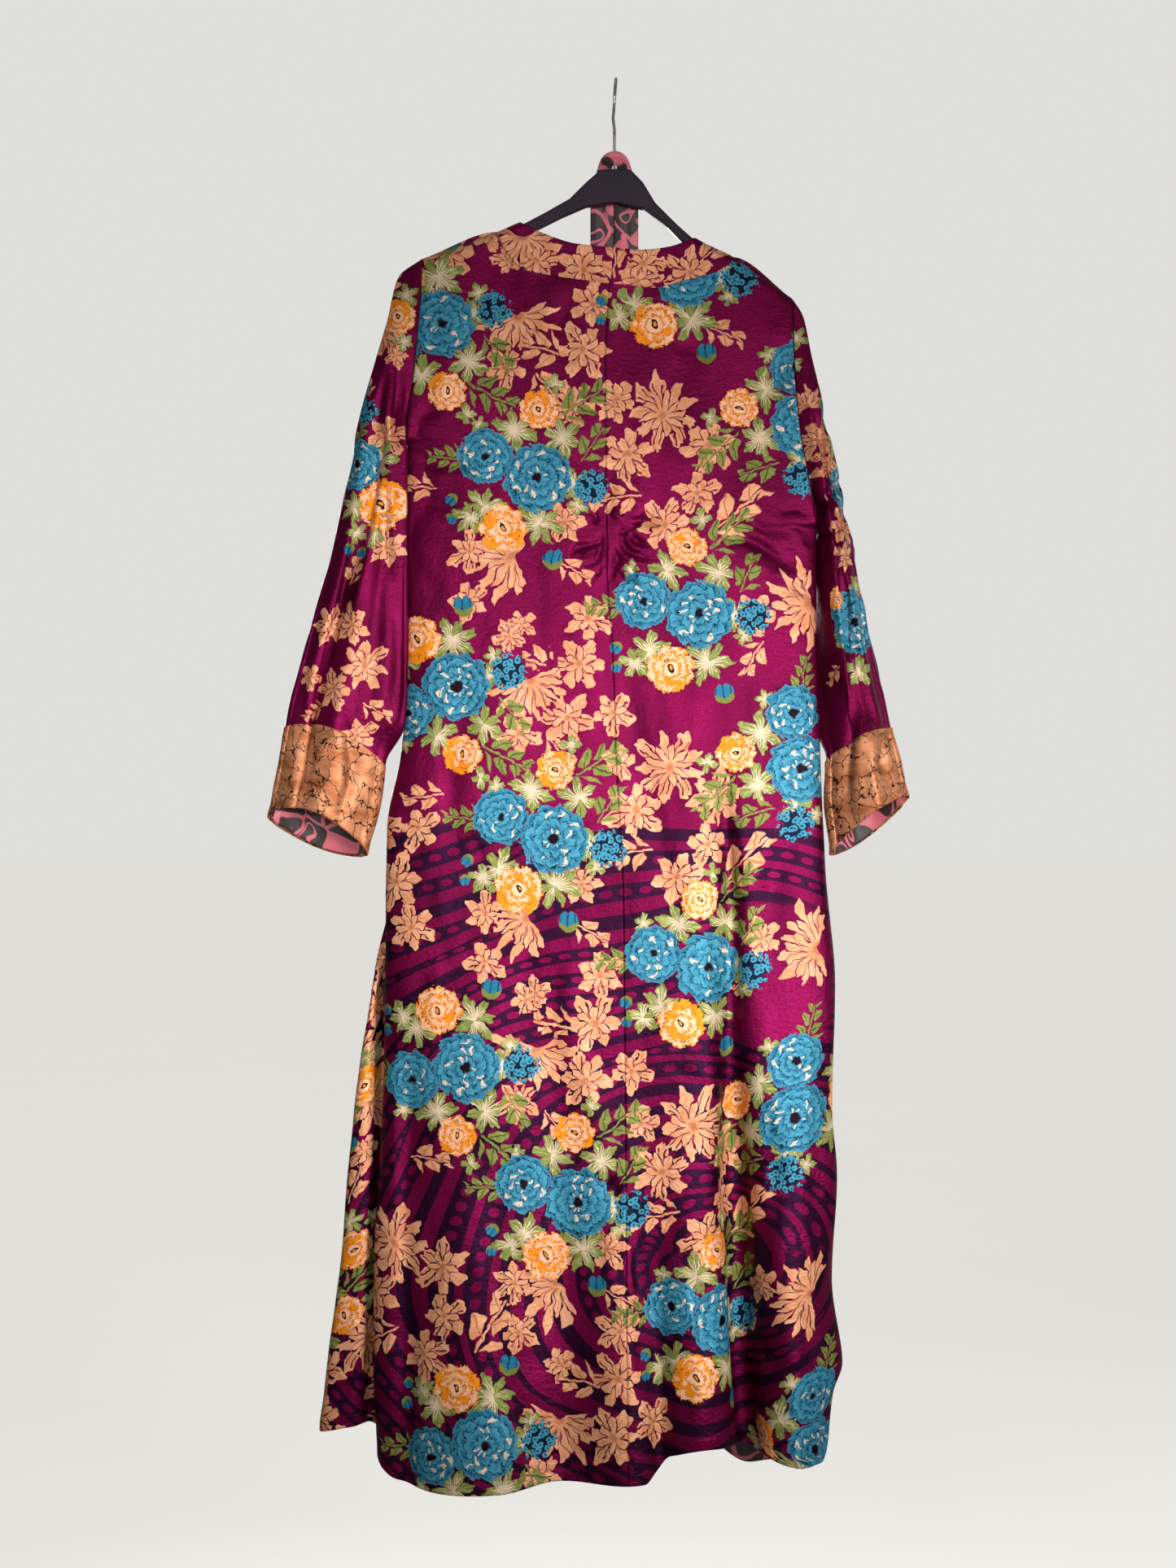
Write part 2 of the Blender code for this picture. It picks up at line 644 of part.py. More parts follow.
def build_body():
    rows = body_rows(BODY_LENGTH)
    back_top = LEFT_SHOULDER + tuple((row[0], row[1]) for row in NECK_BAND) + RIGHT_SHOULDER
    back_left = panel_point(back_left_section, back_top, BACK_HEM)
    back_right = panel_point(back_right_section, back_top, BACK_HEM)
    left_columns = columns_at_neck(back_left, BACK_COLUMNS, -1.0)
    right_columns = columns_at_neck(back_right, BACK_COLUMNS, 1.0)
    wall("back_left", back_left, left_columns, rows, CLOTH, -1.0, "print", PANEL_REACH, limit=-1.0)
    wall("back_right", back_right, right_columns, rows, CLOTH, 1.0, "print", PANEL_REACH, limit=-1.0)
    front_left = panel_point(front_left_section, RIDGE, FRONT_HEM)
    front_right = panel_point(front_right_section, RIDGE, FRONT_HEM)
    flap_columns = np.concatenate((np.linspace(0.0, 0.36, 9), np.linspace(0.44, 1.0, 8)))
    wall("front_left", front_left, flap_columns, rows, CLOTH, 1.0, "print", PANEL_REACH, limit=1.0)
    right_fractions = edge_packed(FRONT_COLUMNS)
    wall("front_right", front_right, right_fractions, rows, CLOTH, -1.0, "print", PANEL_REACH, limit=1.0)
    band_left = panel_point(band_section(1, 2), RIDGE, FRONT_HEM)
    band_right = panel_point(band_section(3, 4), RIDGE, FRONT_HEM)
    wall("band_left", band_left, even(3), rows, CLOTH, 1.0, "print", BAND_REACH, limit=1.0)
    wall("band_right", band_right, even(3), rows, CLOTH, 1.0, "print", BAND_REACH, limit=1.0)
    stations = np.array(NECK_STATIONS) / (len(NECK_BAND) - 1)
    wall("band_back", neck_band_point, stations, even(4), CLOTH, 1.0, "print", NECK_BAND_REACH, limit=-1.0)
    # the lining on the inside of the right front, where it shows under the raised hem
    lined = right_fractions[3:-2]
    under = -CLOTH - SEAM
    wall("hem_lining", front_right, lined, rows[-5:], LINING_CLOTH, -1.0, "lining", PANEL_REACH, moved=under)


def build_sleeve(side, table, creases, outward_x, cuff_top):
    around = np.arange(SLEEVE_COLUMNS) / SLEEVE_COLUMNS
    last = len(table) - 1
    point = sleeve_point(table, creases, outward_x)
    rows = np.arange(last + 1) / last
    rows[-1] = 1.0 - MOUTH_STEP / last
    wall("sleeve_" + side, point, around, rows, CLOTH, outward_x, "print")
    cuff_rows = np.arange(cuff_top, last + 1) / last
    over = CUFF_CLOTH + SEAM
    wall("cuff_" + side, point, around, cuff_rows, CUFF_CLOTH, outward_x, "cuff", moved=over)
    lining_rows = cuff_rows + 0.0
    lining_rows[-1] = rows[-1]
    under = -CLOTH - SEAM
    name = "sleeve_lining_" + side
    wall(name, point, around, lining_rows, LINING_CLOTH, outward_x, "lining", moved=under)


def belt_tail(x, low):
    heights = np.concatenate((np.linspace(low, -0.24, 17), np.linspace(-0.21, BELT_TAIL_TOP, 5)))
    return [(x, belt_y(x, z), z, BELT_WIDTH) for z in heights]


def belt_path():
    # the belt's centre line: up behind the hanger, over in front of the hook, and down again
    loop = []
    for step in range(11):
        angle = math.pi * (1.0 - step / 10.0)
        rise = math.sin(angle)
        y = 0.0085 - 0.0135 * float(smooth_step(rise * 1.15))
        z = BELT_LOOP_CENTRE + BELT_LOOP_RADIUS * rise
        loop.append((BELT_LOOP_RADIUS * math.cos(angle), y, z, BELT_LOOP_WIDTH))
    left = belt_tail(-BELT_TAIL_X, BELT_LOW)
    right = belt_tail(BELT_TAIL_X, BELT_LOW + BELT_TAIL_STEP)
    return left + loop + right[::-1]


def belt_y(x, z):
    # just clear of the hanger, then just clear of the fronts
    behind_hanger = 0.0075
    over_front = float(front_y(x, z)) + 0.0016
    share = float(smooth_step((-0.150 - z) / 0.060))
    open_neck = float(smooth_step((z + 0.300) / 0.10))
    return behind_hanger * (1.0 - share) + (over_front + 0.001 * open_neck) * share


def build_belt():
    path = belt_path()
    centres = np.array([p[:3] for p in path])
    tangents = np.gradient(centres, axis=0)
    widths = []
    for i, (x, y, z, width) in enumerate(path):
        tangent = tangents[i] / np.linalg.norm(tangents[i])
        sideways = np.array((tangent[2], 0.0, -tangent[0]))
        widths.append(sideways / np.linalg.norm(sideways) * width / 2.0)
    widths = np.array(widths)
    columns = (-1.0, 0.0, 1.0)
    outer = np.zeros((len(path), 3, 3))
    inner = np.zeros((len(path), 3, 3))
    for j in range(len(path)):
        tangent = tangents[j] / np.linalg.norm(tangents[j])
        side = widths[j] / np.linalg.norm(widths[j])
        normal = np.cross(tangent, side)
        normal /= np.linalg.norm(normal)
        for i, share in enumerate(columns):
            outer[j, i] = centres[j] + widths[j] * share + normal * BELT_THICK / 2.0
            inner[j, i] = centres[j] + widths[j] * share - normal * BELT_THICK / 2.0
    build_wall("belt", outer, inner, "lining", False)


def arm_line(x):
    # the hanger's upper edge, just under the cloth at the shoulders
    return float(along(RIDGE, 0, 1, x)) - CLOTH - 0.0026


def hanger_outline():
    left_top = [(-0.185, arm_line(-0.185) - 0.001)]
    left_top += [(x, arm_line(x)) for x in (-0.180, -0.150, -0.120, -0.098)]
    neck = [
        (-0.0714, -0.1361),
        (-0.0462, -0.1218),
        (-0.0294, -0.1050),
        (-0.0143, -0.0920),
        (-0.0060, -0.0912),
        (0.0060, -0.0912),
        (0.0168, -0.0920),
        (0.0294, -0.1050),
        (0.0420, -0.1260),
        (0.0630, -0.1470),
    ]
    right_top = [(x, arm_line(x)) for x in (0.0860, 0.120, 0.150, 0.166)]
    right_top += [(0.171, arm_line(0.171) - 0.001)]
    under_right = [
        (0.173, arm_line(0.171) - 0.008),
        (0.166, arm_line(0.166) - 0.016),
        (0.150, arm_line(0.150) - 0.017),
        (0.120, arm_line(0.120) - 0.016),
        (0.0697, -0.1672),
        (0.0546, -0.1512),
        (0.0294, -0.1327),
        (0.0000, -0.1260),
        (-0.0294, -0.1302),
        (-0.0546, -0.1411),
        (-0.0798, -0.1537),
        (-0.120, arm_line(-0.120) - 0.016),
        (-0.150, arm_line(-0.150) - 0.017),
        (-0.180, arm_line(-0.180) - 0.016),
        (-0.187, arm_line(-0.185) - 0.008),
    ]
    return left_top + neck + right_top + under_right


def build_hanger():
    outline = hanger_outline()
    half = HANGER_THICK / 2.0
    shell = bmesh.new()
    ring = [shell.verts.new((x, -half, z)) for x, z in outline]
    face = shell.faces.new(ring)
    moved = bmesh.ops.extrude_face_region(shell, geom=[face])
    far = [v for v in moved["geom"] if isinstance(v, bmesh.types.BMVert)]
    bmesh.ops.translate(shell, verts=far, vec=(0.0, HANGER_THICK, 0.0))
    bmesh.ops.recalc_face_normals(shell, faces=shell.faces)
    rims = [e for e in shell.edges if abs(e.verts[0].co.y - e.verts[1].co.y) < 1e-6]
    bmesh.ops.bevel(shell, geom=rims, offset=HANGER_BEVEL, segments=2, profile=0.5, affect="EDGES")
    bmesh.ops.triangulate(shell, faces=shell.faces)
    mesh = bpy.data.meshes.new("hanger")
    shell.to_mesh(mesh)
    shell.free()
    return finish("hanger", mesh, "hanger")


def hook_path():
    # a straight shank, a short bend out to the far side, then the loop over the top
    centre_z = -HOOK_LOOP + HOOK_WIRE / 2.0
    points = [(0.0, 0.0, HOOK_FOOT), (0.0, 0.0, -0.070), (0.0, 0.0005, -0.050)]
    for degrees in range(-70, 215, 15):
        angle = math.radians(degrees)
        rise = math.sin(angle)
        points.append((0.0015 * rise, HOOK_LOOP * math.cos(angle), centre_z + HOOK_LOOP * rise))
    return np.array(points)


def build_hook():
    path = hook_path()
    sides = 10
    tangents = np.gradient(path, axis=0)
    points = []
    for centre, tangent in zip(path, tangents):
        tangent = tangent / np.linalg.norm(tangent)
        across = np.array((1.0, 0.0, 0.0))
        across -= tangent * across.dot(tangent)
        across /= np.linalg.norm(across)
        up = np.cross(tangent, across)
        for k in range(sides):
            angle = 2.0 * math.pi * k / sides
            points.append(centre + (across * math.cos(angle) + up * math.sin(angle)) * HOOK_WIRE / 2.0)
    faces = []
    for j in range(len(path) - 1):
        for k in range(sides):
            n = (k + 1) % sides
            faces.append((j * sides + k, j * sides + n, (j + 1) * sides + n, (j + 1) * sides + k))
    faces.append(tuple(range(sides)))
    faces.append(tuple(range(len(points) - sides, len(points))))
    make_object("hook", points, faces, "steel")


def main():
    for item in list(bpy.data.objects):
        bpy.data.objects.remove(item, do_unlink=True)
    build_body()
    build_sleeve("left", LEFT_SLEEVE, LEFT_CREASES, -1.0, LEFT_CUFF_TOP)
    build_sleeve("right", RIGHT_SLEEVE, RIGHT_CREASES, 1.0, RIGHT_CUFF_TOP)
    build_belt()
    build_hanger()
    build_hook()


main()
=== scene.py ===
import math

import bpy
import numpy as np
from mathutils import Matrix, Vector, noise


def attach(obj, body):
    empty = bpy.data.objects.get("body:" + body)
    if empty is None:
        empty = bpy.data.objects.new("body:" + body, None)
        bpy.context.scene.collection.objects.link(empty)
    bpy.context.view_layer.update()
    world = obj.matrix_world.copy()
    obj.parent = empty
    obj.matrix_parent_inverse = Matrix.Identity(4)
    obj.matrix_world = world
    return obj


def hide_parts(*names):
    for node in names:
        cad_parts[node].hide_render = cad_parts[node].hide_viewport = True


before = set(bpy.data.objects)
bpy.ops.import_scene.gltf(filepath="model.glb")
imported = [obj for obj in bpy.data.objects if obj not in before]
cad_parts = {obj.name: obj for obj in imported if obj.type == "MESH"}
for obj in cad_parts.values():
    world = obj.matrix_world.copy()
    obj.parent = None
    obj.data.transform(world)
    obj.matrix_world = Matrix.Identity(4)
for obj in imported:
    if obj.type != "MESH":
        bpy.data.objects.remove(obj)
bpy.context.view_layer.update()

print("frame loaded:", len(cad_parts), "nodes")

# Metres, +Z up. The robe's back faces -Y and is what the camera sees.


def inRows(places, *flat):
    # a table from whole numbers, row after row; places holds each column's decimals, 0 keeps an entry as it is
    units = [10 ** int(p) for p in places]
    return [tuple(v if unit == 1 else v / unit for v, unit in zip(flat[k:k + len(units)], units))
            for k in range(0, len(flat), len(units))]


def column(table, index):
    return np.array([row[index] for row in table], float)


tableSlopes = {}


def along(table, key, index, value):
    # smooth reading of a table, with no overshoot between its rows
    name = (id(table), key, index)
    if name not in tableSlopes:  # the entry holds the table too, so that its id stays its own
        keys, values = column(table, key), column(table, index)
        if keys[0] > keys[-1]:
            keys, values = keys[::-1], values[::-1]
        step = np.diff(keys)
        rate = np.diff(values) / step
        slope = np.empty(len(keys))
        slope[0], slope[-1] = rate[0], rate[-1]
        both = rate[:-1] * rate[1:]
        slope[1:-1] = np.where(both > 0, 2 * both / np.where(both > 0, rate[:-1] + rate[1:], 1), 0)
        tableSlopes[name] = keys, values, slope, table
    keys, values, slope = tableSlopes[name][:3]
    value = np.clip(value, keys[0], keys[-1])
    i = np.clip(np.searchsorted(keys, value) - 1, 0, len(keys) - 2)
    span = keys[i + 1] - keys[i]
    t = (value - keys[i]) / span
    ends = values[i] * (1 + 2 * t) * (1 - t) ** 2 + values[i + 1] * t * t * (3 - 2 * t)
    return ends + span * t * (1 - t) * (slope[i] * (1 - t) - slope[i + 1] * t)


def smoothStep(value):
    value = np.clip(value, 0.0, 1.0)
    return value * value * (3 - 2 * value)


# The robe's cut and hang, as in the solids
robe = {
    "cell": 0.004,  # size of the cloth's mesh
    "fine": 0.0022,  # and where it is puckered
    "shell": 0.0007,  # thickness of the cloth
    "ridgeDrop": 0.009,  # height of the turn over the shoulder
    "seam": 0.0003, "bandLift": 0.0012, "sideFade": 0.018, "panelPower": 3, "sleeveEnd": 0.0065,
    "armholeDepth": 0.0095, "points": 160,
    "flapInset": 0.0015, "flapFull": 0.006, "flapPoints": 50,
    "flapDepth": 0.012, "flapTurn": 0.018, "flapStart": -0.78, "flapGrowth": 0.4,
    "leftEdge": inRows("34",  # z, x
        -183, -1974, -234, -1999, -306, -2070, -374, -2150, -554, -2134, -630, -2150, -697, -2209, -769, -2344,
        -995, -2369, -1092, -2402, -1201, -2461, -1310, -2478, -1402, -2436),
    "rightEdge": inRows("34",  # z, x
        -225, 1831, -297, 1848, -361, 1907, -425, 2024, -462, 2083, -554, 2083, -697, 2125, -818, 2176, -931, 2276,
        -1059, 2243, -1128, 2293, -1237, 2243, -1320, 2345, -1352, 2243, -1413, 2184),
    "flapEdge": inRows("34",  # z, outermost x of the left front, which comes round past the back
        -860, -2344, -911, -2453, -1027, -2646, -1092, -2713, -1220, -2839, -1296, -2932, -1387, -3041),
    "ridge": inRows("44",  # x, z along the crest of the shoulders
        -2218, -1920, -1974, -1831, -1201, -1554, -983, -1462, -462, -1260, 378, -1302, 848, -1630, 1201, -1806,
        1798, -2218, 1960, -2330),
    "neckBand": inRows("4444",  # lower x, lower z, upper x, upper z
        -1201, -1554, -983, -1462, -1126, -1722, -900, -1512, -932, -1932, -781, -1571, -690, -1990, -620, -1635,
        -437, -2033, -410, -1697, -240, -2060, -220, -1720, -50, -2083, -34, -1735, 170, -2105, 130, -1752,
        395, -2125, 300, -1762, 722, -2050, 560, -1730, 930, -2000, 690, -1690, 1042, -1957, 760, -1662,
        1159, -1870, 810, -1640, 1210, -1812, 848, -1630),
    "centreSeam": inRows("34",  # z, x
        -208, -50, -291, -95, -514, -76, -588, -25, -710, 17, -840, 84, -1440, 126),
    "backHem": inRows("43",  # x, z
        -2478, -1400, -2386, -1420, -2201, -1432, -1688, -1440, -1184, -1440, -596, -1430, 300, -1430, 420, -1420,
        563, -1404, 932, -1395, 1369, -1402, 1730, -1414, 1949, -1418, 2117, -1418, 2184, -1408),
    "frontHem": inRows("33",  # x, z
        -306, -1392, -250, -1384, -150, -1398, 0, -1404, 90, -1410, 140, -1430, 190, -1434, 220, -1415),
    "depths": inRows("344",  # z, back, front
        -140, 85, 85, -250, 110, 110, -400, 150, 150, -600, 220, 220, -900, 330, 300, -1200, 460, 380,
        -1460, 560, 460),
    "frontBand": inRows("33444",  # z, left seam, left edge, right edge, right seam
        -140, -123, -983, 860, 1300, -165, -117, -900, 840, 1242, -200, -106, -760, 760, 1165,
        -300, -80, -460, 500, 840, -400, -59, -240, 290, 630, -500, -45, -95, 150, 500, -600, -40, -45, 95, 450,
        -900, -40, -45, 95, 450, -1460, -44, -85, 135, 490),
    "backFolds": inRows("333333",  # z top, z bottom, x top, x bottom, half width, depth at the bottom
        -720, -1300, 104, 134, 17, 36, -1120, -1420, 40, 47, 12, 12, -820, -1380, 60, 86, 22, -9,
        -800, -1350, -125, -150, 45, -12, -900, -1400, -60, -50, 28, 9, -1000, -1400, 0, 10, 30, -10,
        -850, -1350, -208, -212, 12, 8, -900, -1350, 170, 184, 20, -10),
    "frontFolds": inRows("333333", -650, -1350, -120, -150, 20, -20, -700, -1350, -75, -85, 24, 12,
        -800, -1350, -190, -225, 22, 12, -600, -1300, 110, 135, 20, -22, -760, -1350, 75, 80, 22, 11,
        -800, -1350, 165, 185, 18, 10),
}
robe["backTop"] = ([(-0.1974, -0.1831)] + [r[:2] for r in robe["neckBand"]]
                   + [(0.1798, -0.2218), (0.1831, -0.2245)])

leftSleeve = {
    "side": -1, "edge": "leftEdge", "cuffTop": 12, "clear": 0.0007,
    "tuckFrom": 0.62, "tuckUnder": 0.0018, "tuckBack": 0.0085,
    "rings": inRows("4444433",  # outer x, z, inner x, z, half depth, lift of the near side, drop of the far side
        -1974, -1831, -2159, -3735, 95, 0, 0, -2218, -2010, -2178, -3881, 120, 0, 0,
        -2335, -2478, -2178, -4074, 150, 2, 1, -2461, -2898, -2178, -4301, 170, 4, 2,
        -2596, -3360, -2178, -4578, 185, 6, 3, -2705, -3839, -2170, -4872, 200, 8, 4,
        -2806, -4343, -2164, -5166, 210, 10, 5, -2906, -4788, -2162, -5460, 220, 12, 6,
        -3024, -5242, -2174, -5754, 225, 14, 7, -3116, -5544, -2194, -6006, 230, 16, 8,
        -3234, -6006, -2243, -6426, 240, 18, 9, -3335, -6401, -2302, -6821, 250, 20, 10,
        -3390, -6703, -2365, -7081, 260, 21, 11, -3470, -7140, -2425, -7501, 280, 23, 13,
        -3560, -7602, -2562, -7972, 300, 25, 15),
    "creases": inRows("0222224",  # side, place at the top, place at the cuff, start, end, half width, depth
        1, 72, 60, 10, 100, 9, 60, 1, 40, 22, 25, 85, 8, 45, -1, 60, 45, 15, 90, 10, 55)}
rightSleeve = {
    "side": 1, "edge": "rightEdge", "cuffTop": 11, "clear": 0.0007,
    "tuckFrom": 0.62, "tuckUnder": 0.0028, "tuckBack": 0.015,
    "rings": inRows("4444433", 1831, -2251, 2083, -4620, 95, 0, 0, 1940, -2420, 2110, -4738, 125, 0, 0,
        2033, -2856, 2118, -4889, 160, 1, 1, 2150, -3352, 2128, -5057, 190, 2, 2, 2243, -3780, 2142, -5242, 215, 3, 3,
        2327, -4158, 2150, -5443, 235, 4, 4, 2419, -4620, 2159, -5670, 250, 5, 5, 2512, -5141, 2167, -5897, 265, 6, 6,
        2612, -5670, 2176, -6174, 275, 7, 7, 2713, -6132, 2176, -6468, 285, 8, 8, 2797, -6451, 2176, -6762, 290, 9, 9,
        2850, -6686, 2176, -7014, 295, 10, 10, 2945, -7014, 2176, -7434, 305, 12, 12,
        3014, -7392, 2236, -7972, 320, 14, 15),
    "creases": inRows("0222224", 1, 75, 35, 10, 75, 9, 60, 1, 50, 75, 45, 100, 9, 45, -1, 55, 50, 15, 90, 10, 55)}


def at(name, value, index=1):
    return along(robe[name], 0, index, value)


def bulge(fraction):
    inside = np.clip(np.abs(2 * fraction - 1), 0, 1)
    return (1 - inside ** robe["panelPower"]) ** (1 / robe["panelPower"])


def shoulderRound(x, z):
    drop = np.clip((at("ridge", x) - z) / robe["ridgeDrop"], 0, 1)
    return np.sqrt(1 - (1 - drop) ** 2)


def armholeDepth(z, rings):
    top, bottom = rings[0][1], rings[0][3]
    place = np.clip((z - bottom) / (top - bottom), 0, 1)
    lowEnd = np.clip((z - bottom) / robe["sleeveEnd"], 0, 1)
    reach = robe["sleeveEnd"] + (robe["armholeDepth"] - robe["sleeveEnd"]) * (1 - (2 * place - 1) ** 2)
    return reach * np.sqrt(1 - (1 - lowEnd) ** 2)


def foldDepth(table, x, z):
    total = np.zeros(np.broadcast(x, z).shape)
    for top, bottom, xTop, xBottom, halfWidth, depth in table:
        down = np.clip((top - z) / (top - bottom), 0, 1)
        centre = xTop + (xBottom - xTop) * down
        total = total + depth * smoothStep(down) * np.exp(-((x - centre) / halfWidth) ** 2)
    return total


def sideShift(z):
    return robe["flapDepth"] * smoothStep((robe["flapStart"] - z) / robe["flapGrowth"])


def bodyDepth(x, z, left, right, middle):
    place = np.clip((x - left) / (right - left), 0, 1)
    edge = armholeDepth(z, leftSleeve["rings"]) * (1 - place) + armholeDepth(z, rightSleeve["rings"]) * place
    return edge + (middle - edge) * bulge(place)


def sideFade(x, left, right):
    return np.clip((x - left) / robe["sideFade"], 0, 1) * np.clip((right - x) / robe["sideFade"], 0, 1)


def backY(x, z):
    left, right = at("leftEdge", z), at("rightEdge", z)
    shift = sideShift(z) * np.clip((right - x) / (right - left), 0, 1)
    depth = shift + bodyDepth(x, z, left, right, at("depths", z) - shift)
    depth = depth - foldDepth(robe["backFolds"], x, z) * sideFade(x, left, right)
    return -depth * shoulderRound(x, z) - robe["seam"] / 2


def frontY(x, z):
    flap = np.where(z > robe["flapEdge"][0][0], 0, at("flapEdge", z))
    left = np.minimum(at("leftEdge", z), flap)
    right = at("rightEdge", z)
    depth = bodyDepth(x, z, left, right, at("depths", z, 2))
    depth = depth + foldDepth(robe["frontFolds"], x, z) * sideFade(x, left, right)
    return depth * shoulderRound(x, z) + robe["seam"] / 2


def packed(start, end, count):
    return start + (end - start) * (1 - np.cos(np.linspace(0, math.pi / 2, count)))


def backSection(edge):
    def section(z):
        x = packed(at(edge, z), at("centreSeam", z), robe["points"])
        return x, backY(x, z)
    return section


def frontLeftSection(z):
    seam = at("frontBand", z)
    edge = float(at("leftEdge", z))
    width = 0
    if z < robe["flapEdge"][0][0]:
        width = max(0, edge - float(at("flapEdge", z)))
    farX = packed(edge - width, seam, robe["points"])
    farY = frontY(farX, z)
    shift = float(sideShift(z))
    if shift < 1e-6:
        return farX, farY
    inset = robe["flapInset"] * min(1, width / robe["flapFull"])
    turn = max(1e-5, min(robe["flapTurn"], width))
    nearX = packed(edge - width, edge + inset, robe["flapPoints"])[::-1]
    inside = np.clip(1 - (nearX - edge + width) / turn, 0, 1)
    nearY = -shift * (1 - inside ** robe["panelPower"]) ** (1 / robe["panelPower"]) + robe["seam"] / 2
    x = np.concatenate(([edge + inset], nearX, farX[1:]))
    return x, np.concatenate(([-shift + robe["seam"] / 2], nearY, farY[1:]))


def frontRightSection(z):
    x = packed(at("rightEdge", z), at("frontBand", z, 4), robe["points"])
    return x, frontY(x, z)


def bandSection(start, end):
    def section(z):
        x = np.linspace(at("frontBand", z, start), at("frontBand", z, end), 16)
        return x, frontY(x, z)
    return section


# rows down a panel: close together where the cloth turns over the shoulder and where the back is darted, else even
panelDown = np.concatenate(([0, 0.0004, 0.001, 0.002, 0.0034, 0.0052, 0.0075],
                            np.arange(0.0105, 0.19, robe["cell"]), np.arange(0.19, 0.36, robe["fine"]),
                            np.arange(0.36, 1.249, robe["cell"]), [1.25])) / 1.25


def panelGrid(section, top, hem, across, down):
    # rows from the top edge to the hem, columns from the side edge inwards; the sections are read at set heights,
    # close together over the shoulder
    heights = np.concatenate((np.arange(-1.47, -0.262, 0.0035), np.arange(-0.262, -0.11, 0.0006)))
    x, y = np.empty((2, len(heights), len(across)))
    for k, z in enumerate(heights):
        sectionX, sectionY = section(z)
        length = np.concatenate(([0], np.cumsum(np.hypot(np.diff(sectionX), np.diff(sectionY)))))
        x[k] = np.interp(across * length[-1], length, sectionX)
        y[k] = np.interp(across * length[-1], length, sectionY)
    grid = np.zeros((len(down), len(across), 3))
    for i in range(len(across)):
        high = low = -0.5  # first guesses, bettered in a few rounds
        for _ in range(12):
            high = float(at(top, np.interp(high, heights, x[:, i])))
            low = float(at(hem, np.interp(low, heights, x[:, i])))
        z = high + (low - high) * down
        grid[:, i] = np.stack((np.interp(z, heights, x[:, i]), np.interp(z, heights, y[:, i]), z), 1)
    return grid


def neckBandGrid(across, up):
    station = across * (len(robe["neckBand"]) - 1)
    table = [(k, *row) for k, row in enumerate(robe["neckBand"])]
    lowX, lowZ, highX, highZ = (along(table, 0, k, station)[None, :] for k in range(1, 5))
    share = up[:, None]
    x = lowX + (highX - lowX) * share
    z = lowZ + (highZ - lowZ) * share
    return np.stack((x, backY(x, z) - robe["bandLift"], z), 2)


def ringPoint(halfWidth, halfDepth, turn):
    # place across and depth round a flat ring with round ends
    end = 0.125  # share of the way across that each round end takes
    radius = np.minimum(robe["sleeveEnd"], halfDepth)
    folded = np.where(turn < 0.5, 2 * turn, 2 - 2 * turn)
    side = np.where(turn < 0.5, 1, -1)
    outer = np.where(folded < 0.5, 1, -1)
    bend = np.clip(np.minimum(folded, 1 - folded) / end, 0, 1) * math.pi / 2
    across = 1 - 2 * (folded - end) / (1 - 2 * end)
    straight = halfWidth - radius
    inEnd = (folded < end) | (folded > 1 - end)
    place = np.where(inEnd, outer * (straight + radius * np.cos(bend)), straight * across)
    depth = np.where(inEnd, radius * np.sin(bend), radius + (halfDepth - radius) * (1 - across ** 2))
    return place, side * depth


sleeveCloth = {
    "around": 160, "rows": 130, "stopShort": 0.05, "creaseIn": 0.15, "creaseOut": 0.12, "rim": 0.2,
    "bowRings": 3, "settleRings": 0.8, "farShare": 0.8, "wave": 0.0015, "waveSize": 0.045}


def sleeveGrid(sleeve, turn, down):
    rings = [(k, *row) for k, row in enumerate(sleeve["rings"])]
    last = len(rings) - 1
    station = (last * down)[:, None] + 0 * turn[None, :]
    outerX, outerZ, innerX, innerZ, halfDepth, raised, drop = (along(rings, 0, k, station) for k in range(1, 8))
    turn = turn[None, :] + 0 * station
    reachX, reachZ = (outerX - innerX) / 2, (outerZ - innerZ) / 2
    halfWidth = np.hypot(reachX, reachZ)
    across, depth = ringPoint(halfWidth, halfDepth, turn)
    place = 0.5 + 0.5 * across / halfWidth
    share = station / last
    for side, top, bottom, start, end, width, amount in sleeve["creases"]:
        fade = (smoothStep((share - start) / sleeveCloth["creaseIn"])
                * smoothStep((end - share) / sleeveCloth["creaseOut"] + 1))
        dent = amount * fade * np.exp(-((place - top - (bottom - top) * share) / width) ** 2)
        dent = dent * smoothStep(np.minimum(place, 1 - place) / sleeveCloth["rim"])
        depth = depth - side * np.where(side * depth > 0, dent, 0)
    swing = np.sin(turn * 2 * math.pi)
    topX, topZ, lowX, lowZ = sleeve["rings"][0][:4]
    bow = at(sleeve["edge"], lowZ + (topZ - lowZ) * place) - (lowX + (topX - lowX) * place)
    x = (outerX + innerX) / 2 + reachX / halfWidth * across + sleeve["side"] * sleeve["clear"]
    x = x + bow * np.maximum(0, 1 - station / sleeveCloth["bowRings"])
    z = (outerZ + innerZ) / 2 + reachZ / halfWidth * across
    z = z + raised * np.maximum(0, swing) + drop * np.minimum(0, swing)
    return np.stack((x, -depth, z), 2)


def steps(grid, axis):
    return np.linalg.norm(np.diff(grid, axis=axis), axis=2)


def fromZero(values):
    # running totals across each row, with a 0 before the first
    return np.concatenate((np.zeros((len(values), 1)), values.cumsum(1)), 1)


def gridNormals(grid, closed, outward):
    if closed:
        sideways = np.roll(grid, -1, 1) - np.roll(grid, 1, 1)
    else:
        sideways = np.gradient(grid, axis=1)
    normal = np.cross(sideways, np.gradient(grid, axis=0)) * outward
    return normal / np.maximum(np.linalg.norm(normal, axis=2, keepdims=True), 1e-12)


